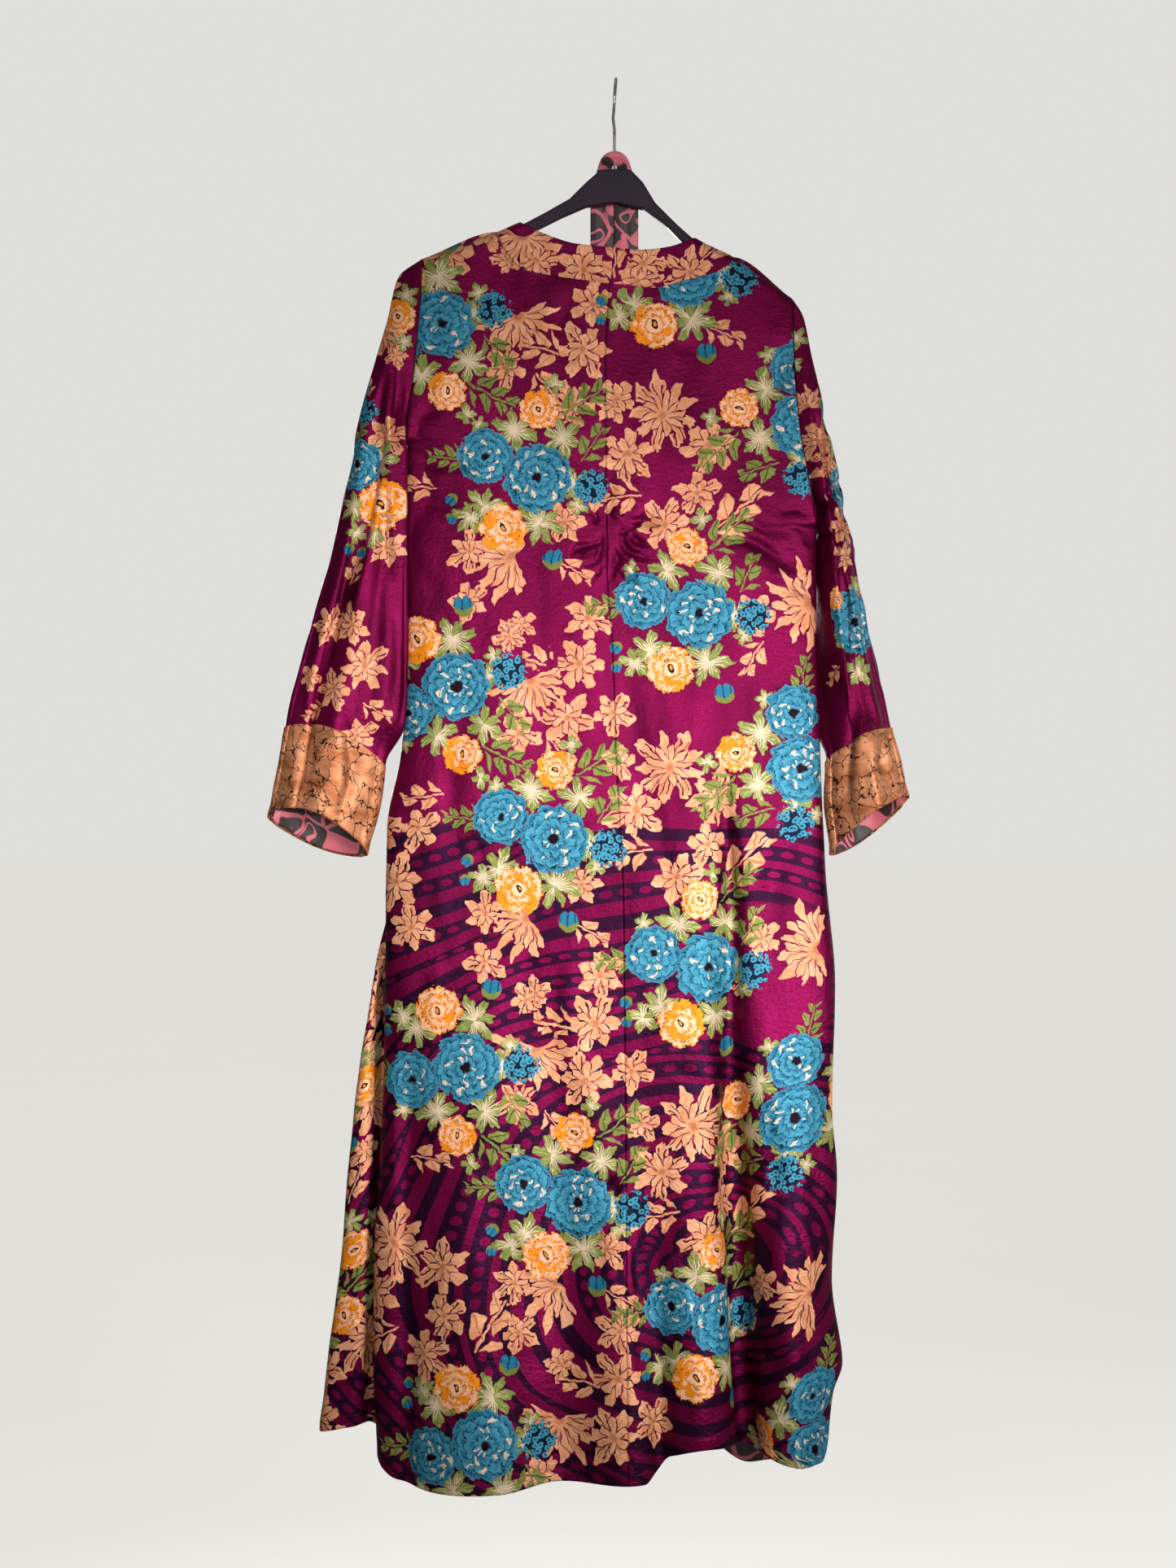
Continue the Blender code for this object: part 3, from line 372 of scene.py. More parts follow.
# Creases, listed one by one. Each is a line as seen, x and z at both ends, with its half width and its depth;
# a negative depth stands up as a ridge.
creases = {
    "back": inRows("333344", 109, -700, 122, -1240, 80, 110, 118, -980, 152, -1600, 85, 130,
        -3, -471, -30, -506, 36, 50, -6, -468, -48, -493, 38, 42, 1, -470, 40, -480, 36, 48,
        2, -474, 36, -500, 38, 44, 1, -464, 54, -456, 42, 34, -2, -476, -4, -540, 42, 50, -4, -460, -12, -392, 48, 44,
        4, -484, 14, -524, 36, 38, -8, -482, -20, -530, 36, -36, 6, -468, 30, -488, 32, -34,
        -10, -476, -36, -500, 30, -34, -1, -440, 6, -462, 40, -30, 4, -492, 28, -520, 30, 34,
        10, -462, 34, -444, 34, 30, -14, -458, -34, -440, 36, 28, -10, -500, -22, -512, 28, 32,
        104, -471, 197, -498, 60, 36, 120, -452, 200, -470, 60, 26, 130, -492, 203, -520, 70, -24,
        168, -440, 203, -452, 50, 28, 176, -462, 205, -486, 45, -22, 182, -505, 206, -545, 50, 24,
        -212, -385, -130, -404, 70, 22, -210, -372, -176, -330, 70, 24, -214, -402, -165, -450, 80, 22,
        -213, -440, -190, -560, 90, 26, -186, -215, -150, -300, 90, 20, 176, -262, 150, -350, 100, 22,
        -70, -235, -30, -300, 110, 14, 60, -240, 85, -310, 110, 14, 18, -560, 52, -940, 140, 26,
        -70, -620, -82, -1020, 160, 24, -150, -560, -160, -900, 150, 28, -30, -860, -40, -1250, 150, -28,
        74, -760, 98, -1150, 120, -30, 160, -640, 172, -980, 130, 30, -110, -1050, -124, -1420, 140, 36,
        -190, -1000, -204, -1400, 120, 36, 12, -1100, 28, -1420, 130, 34, 150, -1050, 166, -1390, 110, 36,
        196, -1000, 204, -1390, 90, -30, 84, -1180, 78, -1380, 90, 40, 60, -1010, 108, -1060, 60, 20,
        128, -1130, 190, -1090, 65, 22, -20, -1120, 44, -1150, 60, 18, -170, -780, -120, -800, 80, 14,
        100, -860, 150, -842, 70, 20, 132, -1290, 200, -1330, 80, 30),
    "front": inRows("333334", -205, -380, -120, -425, 7, 30, -208, -398, -150, -470, 7, 26,
        200, -462, 120, -490, 7, 30, 203, -480, 140, -550, 7, 26, -160, -210, -110, -330, 10, 22,
        150, -240, 110, -360, 10, 22, -90, -420, -84, -820, 12, 28, -160, -560, -170, -1000, 15, -30,
        80, -520, 90, -900, 13, 28, 150, -600, 168, -1050, 14, -30, -205, -860, -236, -1330, 12, 34,
        -110, -980, -122, -1380, 12, 36, 120, -980, 140, -1400, 12, 34, 190, -900, 200, -1380, 10, 30,
        -60, -900, -66, -1370, 9, -26, 64, -950, 70, -1380, 9, -26),
    "flap": inRows("333333", -241, -780, -259, -1700, 8, 25),
    "leftSleeve": inRows("334344", -236, -340, -2760, -580, 60, 110, -263, -450, -3360, -800, 62, 120,
        -236, -340, -2760, -580, 26, 60, -263, -450, -3360, -800, 26, 60, -230, -262, -2165, -420, 50, 62,
        -226, -250, -2320, -420, 60, -24, -222, -450, -2400, -700, 70, 60, -250, -440, -2900, -640, 70, -36,
        -272, -360, -3000, -520, 60, 40, -302, -530, -3360, -760, 65, 46, -270, -640, -2800, -790, 60, 52,
        -300, -670, -3060, -755, 50, -40),
    "rightSleeve": inRows("333344", 206, -456, 238, -404, 55, 90, 208, -478, 250, -430, 60, 76,
        212, -500, 262, -470, 65, -40, 240, -560, 262, -690, 50, 60, 222, -300, 216, -400, 60, 60,
        232, -460, 258, -700, 65, 85, 262, -520, 288, -650, 70, -36, 228, -600, 250, -800, 65, 80,
        252, -650, 276, -760, 60, -44, 286, -668, 262, -728, 60, 46),
}


def crease(grid, normals, lines, nearSide, seed):
    # pushes the cloth in along each line, unevenly, and fades at both ends
    x, z = grid[..., 0], grid[..., 2]
    total = np.zeros(x.shape)
    for k, (x0, z0, x1, z1, halfWidth, depth) in enumerate(lines):
        dx, dz = x1 - x0, z1 - z0
        length = math.hypot(dx, dz)
        place = ((x - x0) * dx + (z - z0) * dz) / length ** 2
        wander = halfWidth * 0.8 * np.sin(place * (5 + k % 4) + k * 1.7 + seed)
        away = ((x - x0) * dz - (z - z0) * dx) / length + wander
        fade = smoothStep(place / 0.22) * smoothStep((1 - place) / 0.4)
        uneven = 0.75 + 0.25 * np.sin(place * 9 + k * 2.3)
        total += depth * fade * uneven * np.exp(-(away / halfWidth) ** 2)
    total = np.where((grid[..., 1] < 0) == nearSide, total, 0)
    return grid - normals * total[..., None]


def ripple(grid, normals, height, size, seed):
    # the soft unevenness of hanging satin, longer down the cloth than across it
    flat = grid.reshape(-1, 3)
    values = [noise.noise(Vector((p[0] / size, p[1] / size + seed, p[2] / size / 2.6))) for p in flat]
    return grid + normals * (height * np.array(values).reshape(grid.shape[:2]))[..., None]


def edgeFade(grid, reach=0.012):
    # 0 along all four edges of a panel, 1 inside, so that seams stay shut
    down, side = fromZero(steps(grid, 0).T).T, fromZero(steps(grid, 1))
    near = np.minimum(np.minimum(down, down[-1:] - down), np.minimum(side, side[:, -1:] - side))
    return smoothStep(near / reach)[..., None]


def panelCoordinates(grid, seamColumn):
    # across the cloth from the given column, in metres along the surface, and the height as hung
    across = fromZero(steps(grid[..., :2], 1))
    if seamColumn == -1:
        across = across - across[:, -1:]
    sign = 1 if grid[len(grid) // 2, -1, 0] > grid[len(grid) // 2, 0, 0] else -1
    return across * sign + grid[:, seamColumn, 0][:, None], grid[..., 2]


offCloth = 9  # a place far from every motif


def tubeCoordinates(grid, sleeve):
    # laid flat from the outer edge: the near half as seen, the far half folded out beyond that edge
    rings = sleeve["rings"]
    start = np.array([(rings[0][0] + rings[0][2]) / 2, (rings[0][1] + rings[0][3]) / 2])
    end = np.array([(rings[-1][0] + rings[-1][2]) / 2, (rings[-1][1] + rings[-1][3]) / 2])
    axis = (end - start) / np.linalg.norm(end - start)
    off = grid[..., [0, 2]] - start
    down = off @ axis
    aside = off @ np.array([-axis[1], axis[0]])
    closing = np.concatenate((grid, grid[:, :1]), 1)
    sideways = np.diff(np.concatenate((aside, aside[:, :1]), 1), axis=1)
    girth = np.hypot(sideways, np.diff(closing[..., 1], axis=1))
    extra = girth - np.abs(sideways)
    half = grid.shape[1] // 2
    nearExtra = fromZero(extra[:, :-1])
    farExtra = extra[:, ::-1].cumsum(1)[:, ::-1]
    inward = -sleeve["side"]
    near = aside + inward * nearExtra
    far = 2 * aside[:, :1] - aside - inward * farExtra
    near[:, half + 1:] = offCloth
    far[:, 0] = aside[:, 0]
    far[:, 1:half] = offCloth
    return near, far, -down, girth.sum(1)


print("shapes ready")


# The printed flowers, from the middle of each bouquet, as the cloth is seen from its right side:
# x, z, radius, kind or form, petals, turn
peony, rosette, tuft, bud = range(4)
bloom, twig, fan = range(3)
bouquets = {
    "posy": {"blooms": (19, 62, 19, rosette, 8, 20, -36, 14, 28, peony, 9, 10, 18, -8, 34, peony, 11, 60,
        -18, -60, 23, rosette, 8, 0, 73, -18, 20, tuft, 5, 0, 33, -91, 13, bud, 5, 0, -71, -31, 8, bud, 5, 140,
        -73, -51, 7, bud, 5, 170),
        "leaves": (-6, 41, 26, bloom, 6, 100, 44, 33, 25, bloom, 6, 40, 20, -56, 29, bloom, 7, -40,
        -38, -38, 24, bloom, 6, 190, 55, -14, 20, bloom, 5, 0, 64, 70, 28, twig, 3, 32, 74, 26, 22, twig, 2, 58,
        -74, 13, 21, twig, 3, 175, 36, 88, 13, bloom, 4, 0, -54, -48, 20, bloom, 5, 200, 60, -36, 13, bloom, 5, 0,
        -42, 46, 12, bloom, 5, 40),
        "peaches": (-6, -88, 56, fan, 13, 180, 46, -54, 27, bloom, 6, 0, -52, -84, 26, bloom, 6, 30,
        -52, -134, 25, bloom, 5, 75, -10, -172, 21, bloom, 5, 10, 56, -104, 20, twig, 2, -30)},
    # the ring of peach flowers beside the posy
    "ring": {"peaches": (0, 41, 45, bloom, 9, 0, -52, 48, 23, bloom, 5, 40, -38, -2, 35, bloom, 6, 20,
        46, 7, 35, bloom, 6, 75, 35, -41, 28, bloom, 5, 130, 2, -73, 32, bloom, 6, 10, -48, -46, 27, twig, 3, 188,
        78, -60, 33, twig, 2, 42)},
    # peach lilies beside every second posy
    "spray": {"peaches": (-1, 30, 29, bloom, 6, 30, -10, -18, 34, bloom, 6, 0, -23, -74, 34, bloom, 6, 50,
        24, -68, 27, bloom, 5, 15, -56, -16, 29, twig, 3, 165)},
    # a large peach flower with its leaves
    "burst": {"peaches": (4, 10, 52, fan, 13, -90, -4, 66, 19, bloom, 5, 0, -6, -46, 26, bloom, 5, 20,
        36, -64, 20, twig, 2, -48)},
    "twigs": {"peaches": (0, 0, 22, twig, 2, 35)},
    # a rose with leaves and a bud, for the strip that shows beside the back
    "button": {"blooms": (0, 0, 20, rosette, 8, 30, -2, -60, 11, bud, 5, 0),
        "leaves": (16, 26, 18, bloom, 6, 20, -8, 34, 14, bloom, 5, 70, 12, -30, 18, bloom, 6, -30),
        "peaches": (4, -94, 22, bloom, 6, 0)},
    # the narrow bouquet half way down the left sleeve
    "leftPosy": {"blooms": (1, 77, 14, tuft, 5, 0, -10, 24, 26, peony, 9, 20, 18, -21, 26, rosette, 8, 0,
        -22, -64, 8, bud, 5, 140, -7, -68, 7, bud, 5, 170),
        "leaves": (15, 26, 23, bloom, 6, 60, -14, -20, 20, bloom, 6, 150, -13, -46, 14, bloom, 5, 0,
        12, -52, 15, bloom, 5, 80, -6, 55, 12, twig, 2, 60),
        "peaches": (22, 50, 26, bloom, 6, 10, 26, -66, 24, bloom, 6, 40, -12, -86, 16, twig, 2, 80,
        2, 106, 13, twig, 2, 100)},
    # peach flowers above the left cuff
    "leftGroup": {"peaches": (-19, 56, 24, bloom, 6, 0, 12, 52, 26, bloom, 6, 30, 22, 10, 31, bloom, 7, 10,
        -11, -13, 24, bloom, 6, 50, -43, 3, 16, bloom, 5, 20, 17, -62, 21, bloom, 5, 70, -37, -33, 15, twig, 3, 200,
        34, -37, 17, twig, 2, -30)},
    "shoulderRose": {"blooms": (0, 0, 17, rosette, 8, 0),
        "leaves": (9, 22, 15, bloom, 5, 60, 6, -26, 12, bloom, 5, 0),
        "peaches": (-14, -18, 23, bloom, 6, 0, -3, -40, 15, bloom, 5, 30, -6, 32, 14, twig, 2, 60)},
    # one large peony with its leaves on the right sleeve
    "rightPosy": {"blooms": (0, 0, 32, peony, 11, 40, -24, 22, 12, rosette, 7, 0),
        "leaves": (-18, 12, 18, bloom, 6, 160, -20, -18, 16, bloom, 5, 200, 6, -50, 20, bloom, 5, -90,
        4, 38, 14, bloom, 5, 90),
        "peaches": (-14, 98, 23, bloom, 6, 0, -12, 66, 19, bloom, 6, 40, -30, -56, 13, twig, 2, 230)},
    "shoulderSprays": {"leaves": (-18, 106, 14, bloom, 5, 90, -20, 80, 10, bloom, 4, 30),
        "peaches": (-8, 34, 26, fan, 11, 110, 2, 0, 24, bloom, 6, 0, 10, -26, 19, bloom, 5, 40)},
}
bouquets = {name: {layer: inRows("333000", *flat) for layer, flat in layers.items()}
            for name, layers in bouquets.items()}
bouquets["nosegay"] = {layer: bouquets["posy"][layer] for layer in ("blooms", "leaves")}

# Where they lie: bouquet, with a minus where it is turned over, x, z, turn in degrees
printsOf = {
    "back": inRows("0330", "posy", -97, -403, 0, "ring", 50, -386, 0, "posy", -80, -773, 0, "ring", 58, -748, 3,
        "posy", -56, -1142, 3, "ring", 84, -1112, 6, "nosegay", 55, -193, 4, "nosegay", 67, -546, 8,
        "nosegay", 77, -907, 8, "nosegay", 92, -1262, 8, "spray", -22, -262, 0, "spray", -26, -585, 0,
        "spray", -12, -950, 4, "spray", 10, -1305, 8, "-nosegay", -196, -262, 5, "-nosegay", -180, -635, 5,
        "-nosegay", -170, -1018, -8, "-nosegay", -150, -1395, -8, "burst", -106, -252, 0, "burst", -92, -628, 0,
        "burst", -86, -1004, -8, "burst", -62, -1378, -8, "-nosegay", 192, -336, -104, "-nosegay", 188, -690, -104,
        "-nosegay", 183, -1046, -104, "-nosegay", 200, -1384, -104, "burst", 190, -540, -70, "burst", 196, -888, -90,
        "burst", 190, -1240, -90, "-spray", -212, -842, 10, "ring", -212, -1232, 15, "twigs", -188, -1106, -40,
        "twigs", -204, -420, 140, "spray", -150, -176, -50, "twigs", 112, -262, -60, "twigs", -196, -738, 150),
    "front": inRows("0330", "posy", -140, -300, 0, "ring", -108, -480, 0, "posy", -150, -690, 5,
        "burst", -90, -820, 0, "-posy", -100, -1010, 0, "ring", -190, -900, 0, "posy", -210, -1180, -20,
        "spray", -120, -1210, 0, "-posy", -120, -1370, 0, "burst", -230, -1370, 0, "spray", -180, -500, 0,
        "ring", -262, -1050, 90, "posy", -262, -1290, 90, "spray", -272, -1390, 60, "-posy", 130, -420, 10,
        "spray", 160, -290, 0, "ring", 140, -600, 0, "posy", 150, -800, 0, "burst", 90, -930, 0,
        "-posy", 110, -1130, -10, "spray", 180, -1010, 0, "ring", 170, -1290, 0, "posy", 100, -1400, 0,
        "spray", 200, -1180, 0),
    "band": inRows("0330", "spray", -50, -186, 90, "twigs", 0, -190, 60, "spray", 60, -190, 90, "burst", -98, -172, 0,
        "twigs", 100, -178, 0),
    "leftSleeve": inRows("0430", "shoulderRose", -2226, -245, 14, "leftPosy", -2545, -420, 14,
        "leftGroup", -2765, -615, 14),
    "rightSleeve": inRows("0430", "shoulderSprays", 2090, -372, -9, "rightPosy", 2458, -559, -9),
    "leftSleeveFar": inRows("0330", "rightPosy", -226, -330, 0, "leftPosy", -238, -470, 0,
        "-leftGroup", -262, -610, 0),
    "rightSleeveFar": inRows("0330", "-leftPosy", 220, -400, 0, "leftGroup", 230, -530, 0, "rightPosy", 246, -640, 0),
    "flap": inRows("0330", "button", -257, -1036, 0, "button", -270, -1204, 10, "spray", -246, -935, 0,
        "ring", -262, -1335, 0, "twigs", -262, -1135, 60),
}
for name, side, step, names in (("bandLeft", -1, 40, ("spray", "posy", "ring", "twigs")),
                                ("bandRight", 1, -35, ("posy", "spray", "twigs", "burst"))):
    top, reach = (-0.2, 0.07) if side < 0 else (-0.24, 0.06)
    printsOf[name] = [(names[k % 4], side * (0.03 + reach * (k < 2)), top - 0.125 * k, step * k)
                      for k in range(10)]


def layMotifs(places, layer, grid, across, down, nearSide):
    # turns the table into motifs on the cloth, each found by where it is seen
    motifs = []
    hidden = ((grid[..., 1] < 0) != nearSide) * 1 + (across == offCloth) * 1
    for n, (name, x, z, turn) in enumerate(places):
        over = -1 if name[0] == "-" else 1
        miss = (grid[..., 0] - x) ** 2 + (grid[..., 2] - z) ** 2 + hidden
        j, i = np.unravel_index(np.argmin(miss), miss.shape)
        angle = math.radians(turn)
        c, s = math.cos(angle), math.sin(angle)
        # a place beyond the cloth's edge is carried on in the flat
        middleU = across[j, i] + (x - grid[j, i, 0])
        middleV = down[j, i] + (z - grid[j, i, 2])
        for k, (dx, dz, radius, form, petals, spin) in enumerate(bouquets[name.lstrip("-")].get(layer, ())):
            dz = dz * over
            seed = round((0.618 * (n * 11 + k) + 0.137 * n) % 1, 3)
            motifs.append((middleU + c * dx - s * dz, middleV + s * dx + c * dz, radius,
                           math.radians(turn + over * spin), petals, form, seed))
    return motifs


motifReach = 1.6  # how far a motif may spread, in its radii


def printLayer(mesh, layer, cornerU, cornerV, motifs):
    # each face belongs to its nearest motif, and its corners hold their place on that motif
    count = len(cornerU)
    centreU, centreV = cornerU.mean(1), cornerV.mean(1)
    place = np.full((count, 4, 3), offCloth, np.float32)
    form = np.zeros((count, 4, 3), np.float32)
    best = np.full(count, motifReach)
    for u, v, radius, spin, petals, kind, seed in motifs:
        away = np.hypot(centreU - u, centreV - v) / radius
        won = away < best
        if not won.any():
            continue
        best[won] = away[won]
        offU, offV = cornerU[won] - u, cornerV[won] - v
        c, s = math.cos(spin), math.sin(spin)
        place[won, :, 0] = (c * offU + s * offV) / radius
        place[won, :, 1] = (c * offV - s * offU) / radius
        place[won, :, 2] = seed
        form[won] = (petals, kind, seed)
    for name, values in (("Place", place), ("Form", form)):
        stored = mesh.attributes.new(layer + name, "FLOAT_VECTOR", "CORNER")
        stored.data.foreach_set("vector", values.ravel())


chain = {
    "x": 0.065, "z": -1.2, "squeeze": 1.22, "top": -0.752, "fade": 0.03, "spacing": 0.0235,
    "gapX": 0.17, "gapZ": -0.92, "gapWidth": 0.06, "gapHeight": 0.08}


def chainField(grid):
    # the dark bands of the lower skirt: arcs that rise from the left, turn over and curl round the right middle
    x, z = grid[..., 0], grid[..., 2]
    dx, dz = (x - chain["x"]) / chain["squeeze"], z - chain["z"]
    sway = 0.008 * np.sin(z * 19 + x * 11) + 0.005 * np.sin(x * 31 - z * 15)
    arcs = np.hypot(dx, dz) + sway + 0.03 * np.cos(np.arctan2(dz, dx) - 2.6)
    gap = ((x - chain["gapX"]) / chain["gapWidth"]) ** 4 + ((z - chain["gapZ"]) / chain["gapHeight"]) ** 4
    strength = smoothStep((chain["top"] - z) / chain["fade"]) * (1 - np.exp(-gap))
    return np.stack((arcs / chain["spacing"], np.arctan2(-dz, -dx), strength), 2)


def addObject(name, data):
    made = bpy.data.objects.new(name, data)
    bpy.context.scene.collection.objects.link(made)
    return made


def pieceArea(grid, closed):
    ahead = np.roll(grid, -1, 1) if closed else grid[:, 1:]
    here = grid if closed else grid[:, :-1]
    first = np.cross(ahead[:-1] - here[:-1], here[1:] - here[:-1])
    second = np.cross(here[1:] - ahead[1:], ahead[:-1] - ahead[1:])
    return float(np.linalg.norm(first, axis=2).sum() + np.linalg.norm(second, axis=2).sum()) / 2


def clothPiece(name, node, grid, outward, coordinates, finishes, prints=(), hemmed=False,
               thickness=robe["shell"]):
    # a sheet of cloth from its grid of points, with its map and print, then given its thickness
    closed = len(coordinates) == 4  # a tube, whose last coordinate is its girth
    count, columns = grid.shape[:2]
    j, i = np.meshgrid(np.arange(count - 1), np.arange(columns if closed else columns - 1), indexing="ij")
    k = (i + 1) % columns
    faces = np.stack((j * columns + i, j * columns + k, (j + 1) * columns + k, (j + 1) * columns + i), 2)
    faces = faces.reshape(-1, 4)
    if outward < 0:
        faces = faces[:, ::-1]
    mesh = bpy.data.meshes.new(name)
    mesh.from_pydata(grid.reshape(-1, 3).tolist(), [], faces.tolist())
    across, down = coordinates[0], coordinates[2 if closed else 1]
    cornerU, cornerV = across.ravel()[faces], down.ravel()[faces]
    if closed:
        isFar = (i >= columns // 2).ravel()
        cornerU[isFar] = coordinates[1].ravel()[faces[isFar]]
    layer = mesh.uv_layers.new(name="cloth")
    layer.data.foreach_set("uv", np.stack((cornerU, cornerV), 2).astype(np.float32).ravel())
    for kind in ("blooms", "leaves", "peaches"):
        motifs = []
        for places, nearSide in prints:
            side = across if nearSide or not closed else coordinates[1]
            motifs += layMotifs(printsOf[places], kind, grid, side, down, nearSide)
        if prints:
            printLayer(mesh, kind, cornerU, cornerV, motifs)
    if prints and not closed:
        field = mesh.attributes.new("chain", "FLOAT_VECTOR", "POINT")
        field.data.foreach_set("vector", chainField(grid).astype(np.float32).ravel())
    if hemmed:
        toHem = fromZero(steps(grid, 0)[::-1].T).T[::-1]
        mesh.attributes.new("hem", "FLOAT", "POINT").data.foreach_set("value", toHem.astype(np.float32).ravel())
    for finish in finishes:
        mesh.materials.append(finish)
    mesh.shade_smooth()
    piece = addObject(name, mesh)
    bpy.ops.object.select_all(action="DESELECT")
    bpy.context.view_layer.objects.active = piece
    piece.select_set(True)
    wall = piece.modifiers.new("thickness", "SOLIDIFY")
    wall.thickness, wall.offset, wall.use_rim = thickness, -1, True
    wall.material_offset, wall.material_offset_rim = len(finishes) - 1, 0
    bpy.ops.object.modifier_apply(modifier=wall.name)
    # the size that the piece was cut to, a tube's all round and square to its length
    width = float((coordinates[3] if closed else steps(grid, 1).sum(1)).max())
    length = float(steps(grid, 0).sum(0).max())
    area = min(width * length, pieceArea(grid, closed))
    print(name, "flat", round(width, 3), "x", round(length, 3), "area", round(area, 4), flush=True)
    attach(piece, "root")
    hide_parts(node)


# Finishes


class Wire:
    # one socket of the finish in work; numbers and other wires may stand on either side in a sum
    tree = None

    def __init__(self, socket):
        self.socket = socket

    def __abs__(self):
        return calc("ABSOLUTE", self)


for name, kind in (("add", "ADD"), ("sub", "SUBTRACT"), ("mul", "MULTIPLY"), ("truediv", "DIVIDE"),
                   ("pow", "POWER"), ("mod", "FLOORED_MODULO")):
    setattr(Wire, f"__{name}__", lambda self, other, kind=kind: calc(kind, self, other))
    setattr(Wire, f"__r{name}__", lambda self, other, kind=kind: calc(kind, other, self))


def newFinish(name):
    material = bpy.data.materials.new(name)
    material.use_nodes = True
    Wire.tree = material.node_tree
    return material


def connect(socket, value):
    if isinstance(value, Wire):
        Wire.tree.links.new(value.socket, socket)
    else:
        socket.default_value = value


def addNode(kind, values=(), **settings):
    made = Wire.tree.nodes.new("ShaderNode" + kind)
    for name, value in settings.items():
        setattr(made, name, value)
    for name, value in dict(values).items():
        connect(made.inputs[name], value)
    return made


def out(made, name=0):
    return Wire(made.outputs[name])


def calc(operation, *values):
    return out(addNode("Math", dict(enumerate(values)), operation=operation))


def sine(value):
    return calc("SINE", value)


def floor(value):
    return calc("FLOOR", value)


def whole(value):
    return calc("ROUND", value)


def larger(first, second):
    return calc("MAXIMUM", first, second)


def isKind(value, kind):
    return calc("COMPARE", value, kind, 0.3)


def smooth(value, low, high):
    ends = {"Value": value, "From Min": low, "From Max": high}
    return out(addNode("MapRange", ends, interpolation_type="SMOOTHSTEP"))


def chance(value):
    return out(addNode("TexWhiteNoise", {"W": value}, noise_dimensions="1D"), "Value")


def vector(x, y, z=0):
    return out(addNode("CombineXYZ", {0: x, 1: y, 2: z}))


def parts(wire):
    split = addNode("SeparateXYZ", {0: wire})
    return [out(split, k) for k in range(3)]


def attribute(name):
    return parts(out(addNode("Attribute", attribute_name=name), "Vector"))


def objectPlace():
    return out(addNode("TexCoord"), "Object")


def clothMap():
    return parts(out(addNode("UVMap", uv_map="cloth")))[:2]


def cloud(place, scale, detail=2, roughness=0.5, output=0):
    values = {"Vector": place, "Scale": scale, "Detail": detail, "Roughness": roughness}
    return out(addNode("TexNoise", values), output)


def cells(place, scale, randomness=1, **settings):
    values = {"Vector": place, "Scale": scale, "Randomness": randomness}
    return addNode("TexVoronoi", values, voronoi_dimensions="2D", **settings)


def put(values):
    for name, value in values.items():
        connect(Wire.tree.nodes["Principled BSDF"].inputs[name], value)


def lift(height, distance, strength=1, under=None):
    values = {"Height": height, "Distance": distance, "Strength": strength}
    if under is not None:
        values["Normal"] = under
    return out(addNode("Bump", values))


def tint(red, green, blue):
    # a colour as seen, 0 to 255, made linear
    shares = [c / 255 for c in (red, green, blue)]
    return (*[s / 12.92 if s <= 0.04045 else ((s + 0.055) / 1.055) ** 2.4 for s in shares], 1)


colours = {
    "ground": (98, 4, 50), "groundDark": (56, 2, 28), "groundLight": (124, 8, 66), "peach": (220, 146, 104),
    "peachLight": (236, 170, 130), "rust": (168, 88, 50), "navy": (10, 24, 44), "blueDeep": (14, 74, 102),
    "blue": (34, 114, 144), "blueLight": (70, 146, 170), "cream": (232, 204, 176), "orange": (240, 140, 20),
    "orangeDeep": (196, 76, 10), "rosePink": (246, 190, 156), "ink": (24, 10, 20), "olive": (118, 124, 54),
    "oliveDark": (52, 58, 28), "oliveLight": (166, 172, 98), "band": (34, 8, 36), "pink": (232, 122, 134),
    "pinkDeep": (206, 96, 112), "brown": (66, 50, 50), "brownDark": (44, 32, 34), "copper": (206, 140, 100),
    "copperDark": (164, 96, 58), "copperDeep": (140, 80, 48), "crack": (28, 16, 16), "plastic": (30, 18, 32),
    "plasticWorn": (42, 26, 42), "steel": (178, 176, 172), "steelWorn": (122, 116, 110), "floor": (226, 225, 220),
    "floorPale": (232, 231, 227)}


def mix(factor, first, second):
    ends = [tint(*colours[c]) if isinstance(c, str) else c for c in (first, second)]
    return out(addNode("Mix", {0: factor, 6: ends[0], 7: ends[1]}, data_type="RGBA"), 2)


def coats(colour, *layers):
    # each further colour covers what lies under it by its own share
    for share, over in layers:
        colour = mix(share, colour, over)
    return colour


def handDrawn(layer, amount):
    # a motif's own place, bent a little as a drawn flower is
    x, y, seed = attribute(layer + "Place")
    seed = whole(seed * 1000) / 1000  # one exact value all over a motif, for chance()
    bend = parts(cloud(vector(x + seed * 31, y + seed * 17, seed * 9), 2.1, 2, 0.6, "Color"))
    return x + (bend[0] - 0.5) * amount, y + (bend[1] - 0.5) * amount, seed


def polar(x, y):
    radius = calc("SQRT", x * x + y * y)
    turn = calc("ARCTAN2", y, x) * (0.5 / math.pi) + 0.5
    return radius, turn


def petalRing(radius, turn, petals, shift, length, seed, fullness):
    # one ring of pointed petals: how far inside a petal's outline, the place along it and across it, its number
    spoke = turn * petals + shift
    number = floor(spoke)
    across = (spoke - number - 0.5) * 2
    own = chance((number % petals) * 3.17 + seed * 17.3 + length * 5)
    ragged = sine(across * 9 + own * 20) * 0.05
    place = radius / (length * (0.76 + 0.24 * own)) + ragged
    inside = larger(1 - place, 0)
    width = inside ** 0.62 * (0.86 + 0.62 * place) * fullness
    return width - abs(across), place, across, own


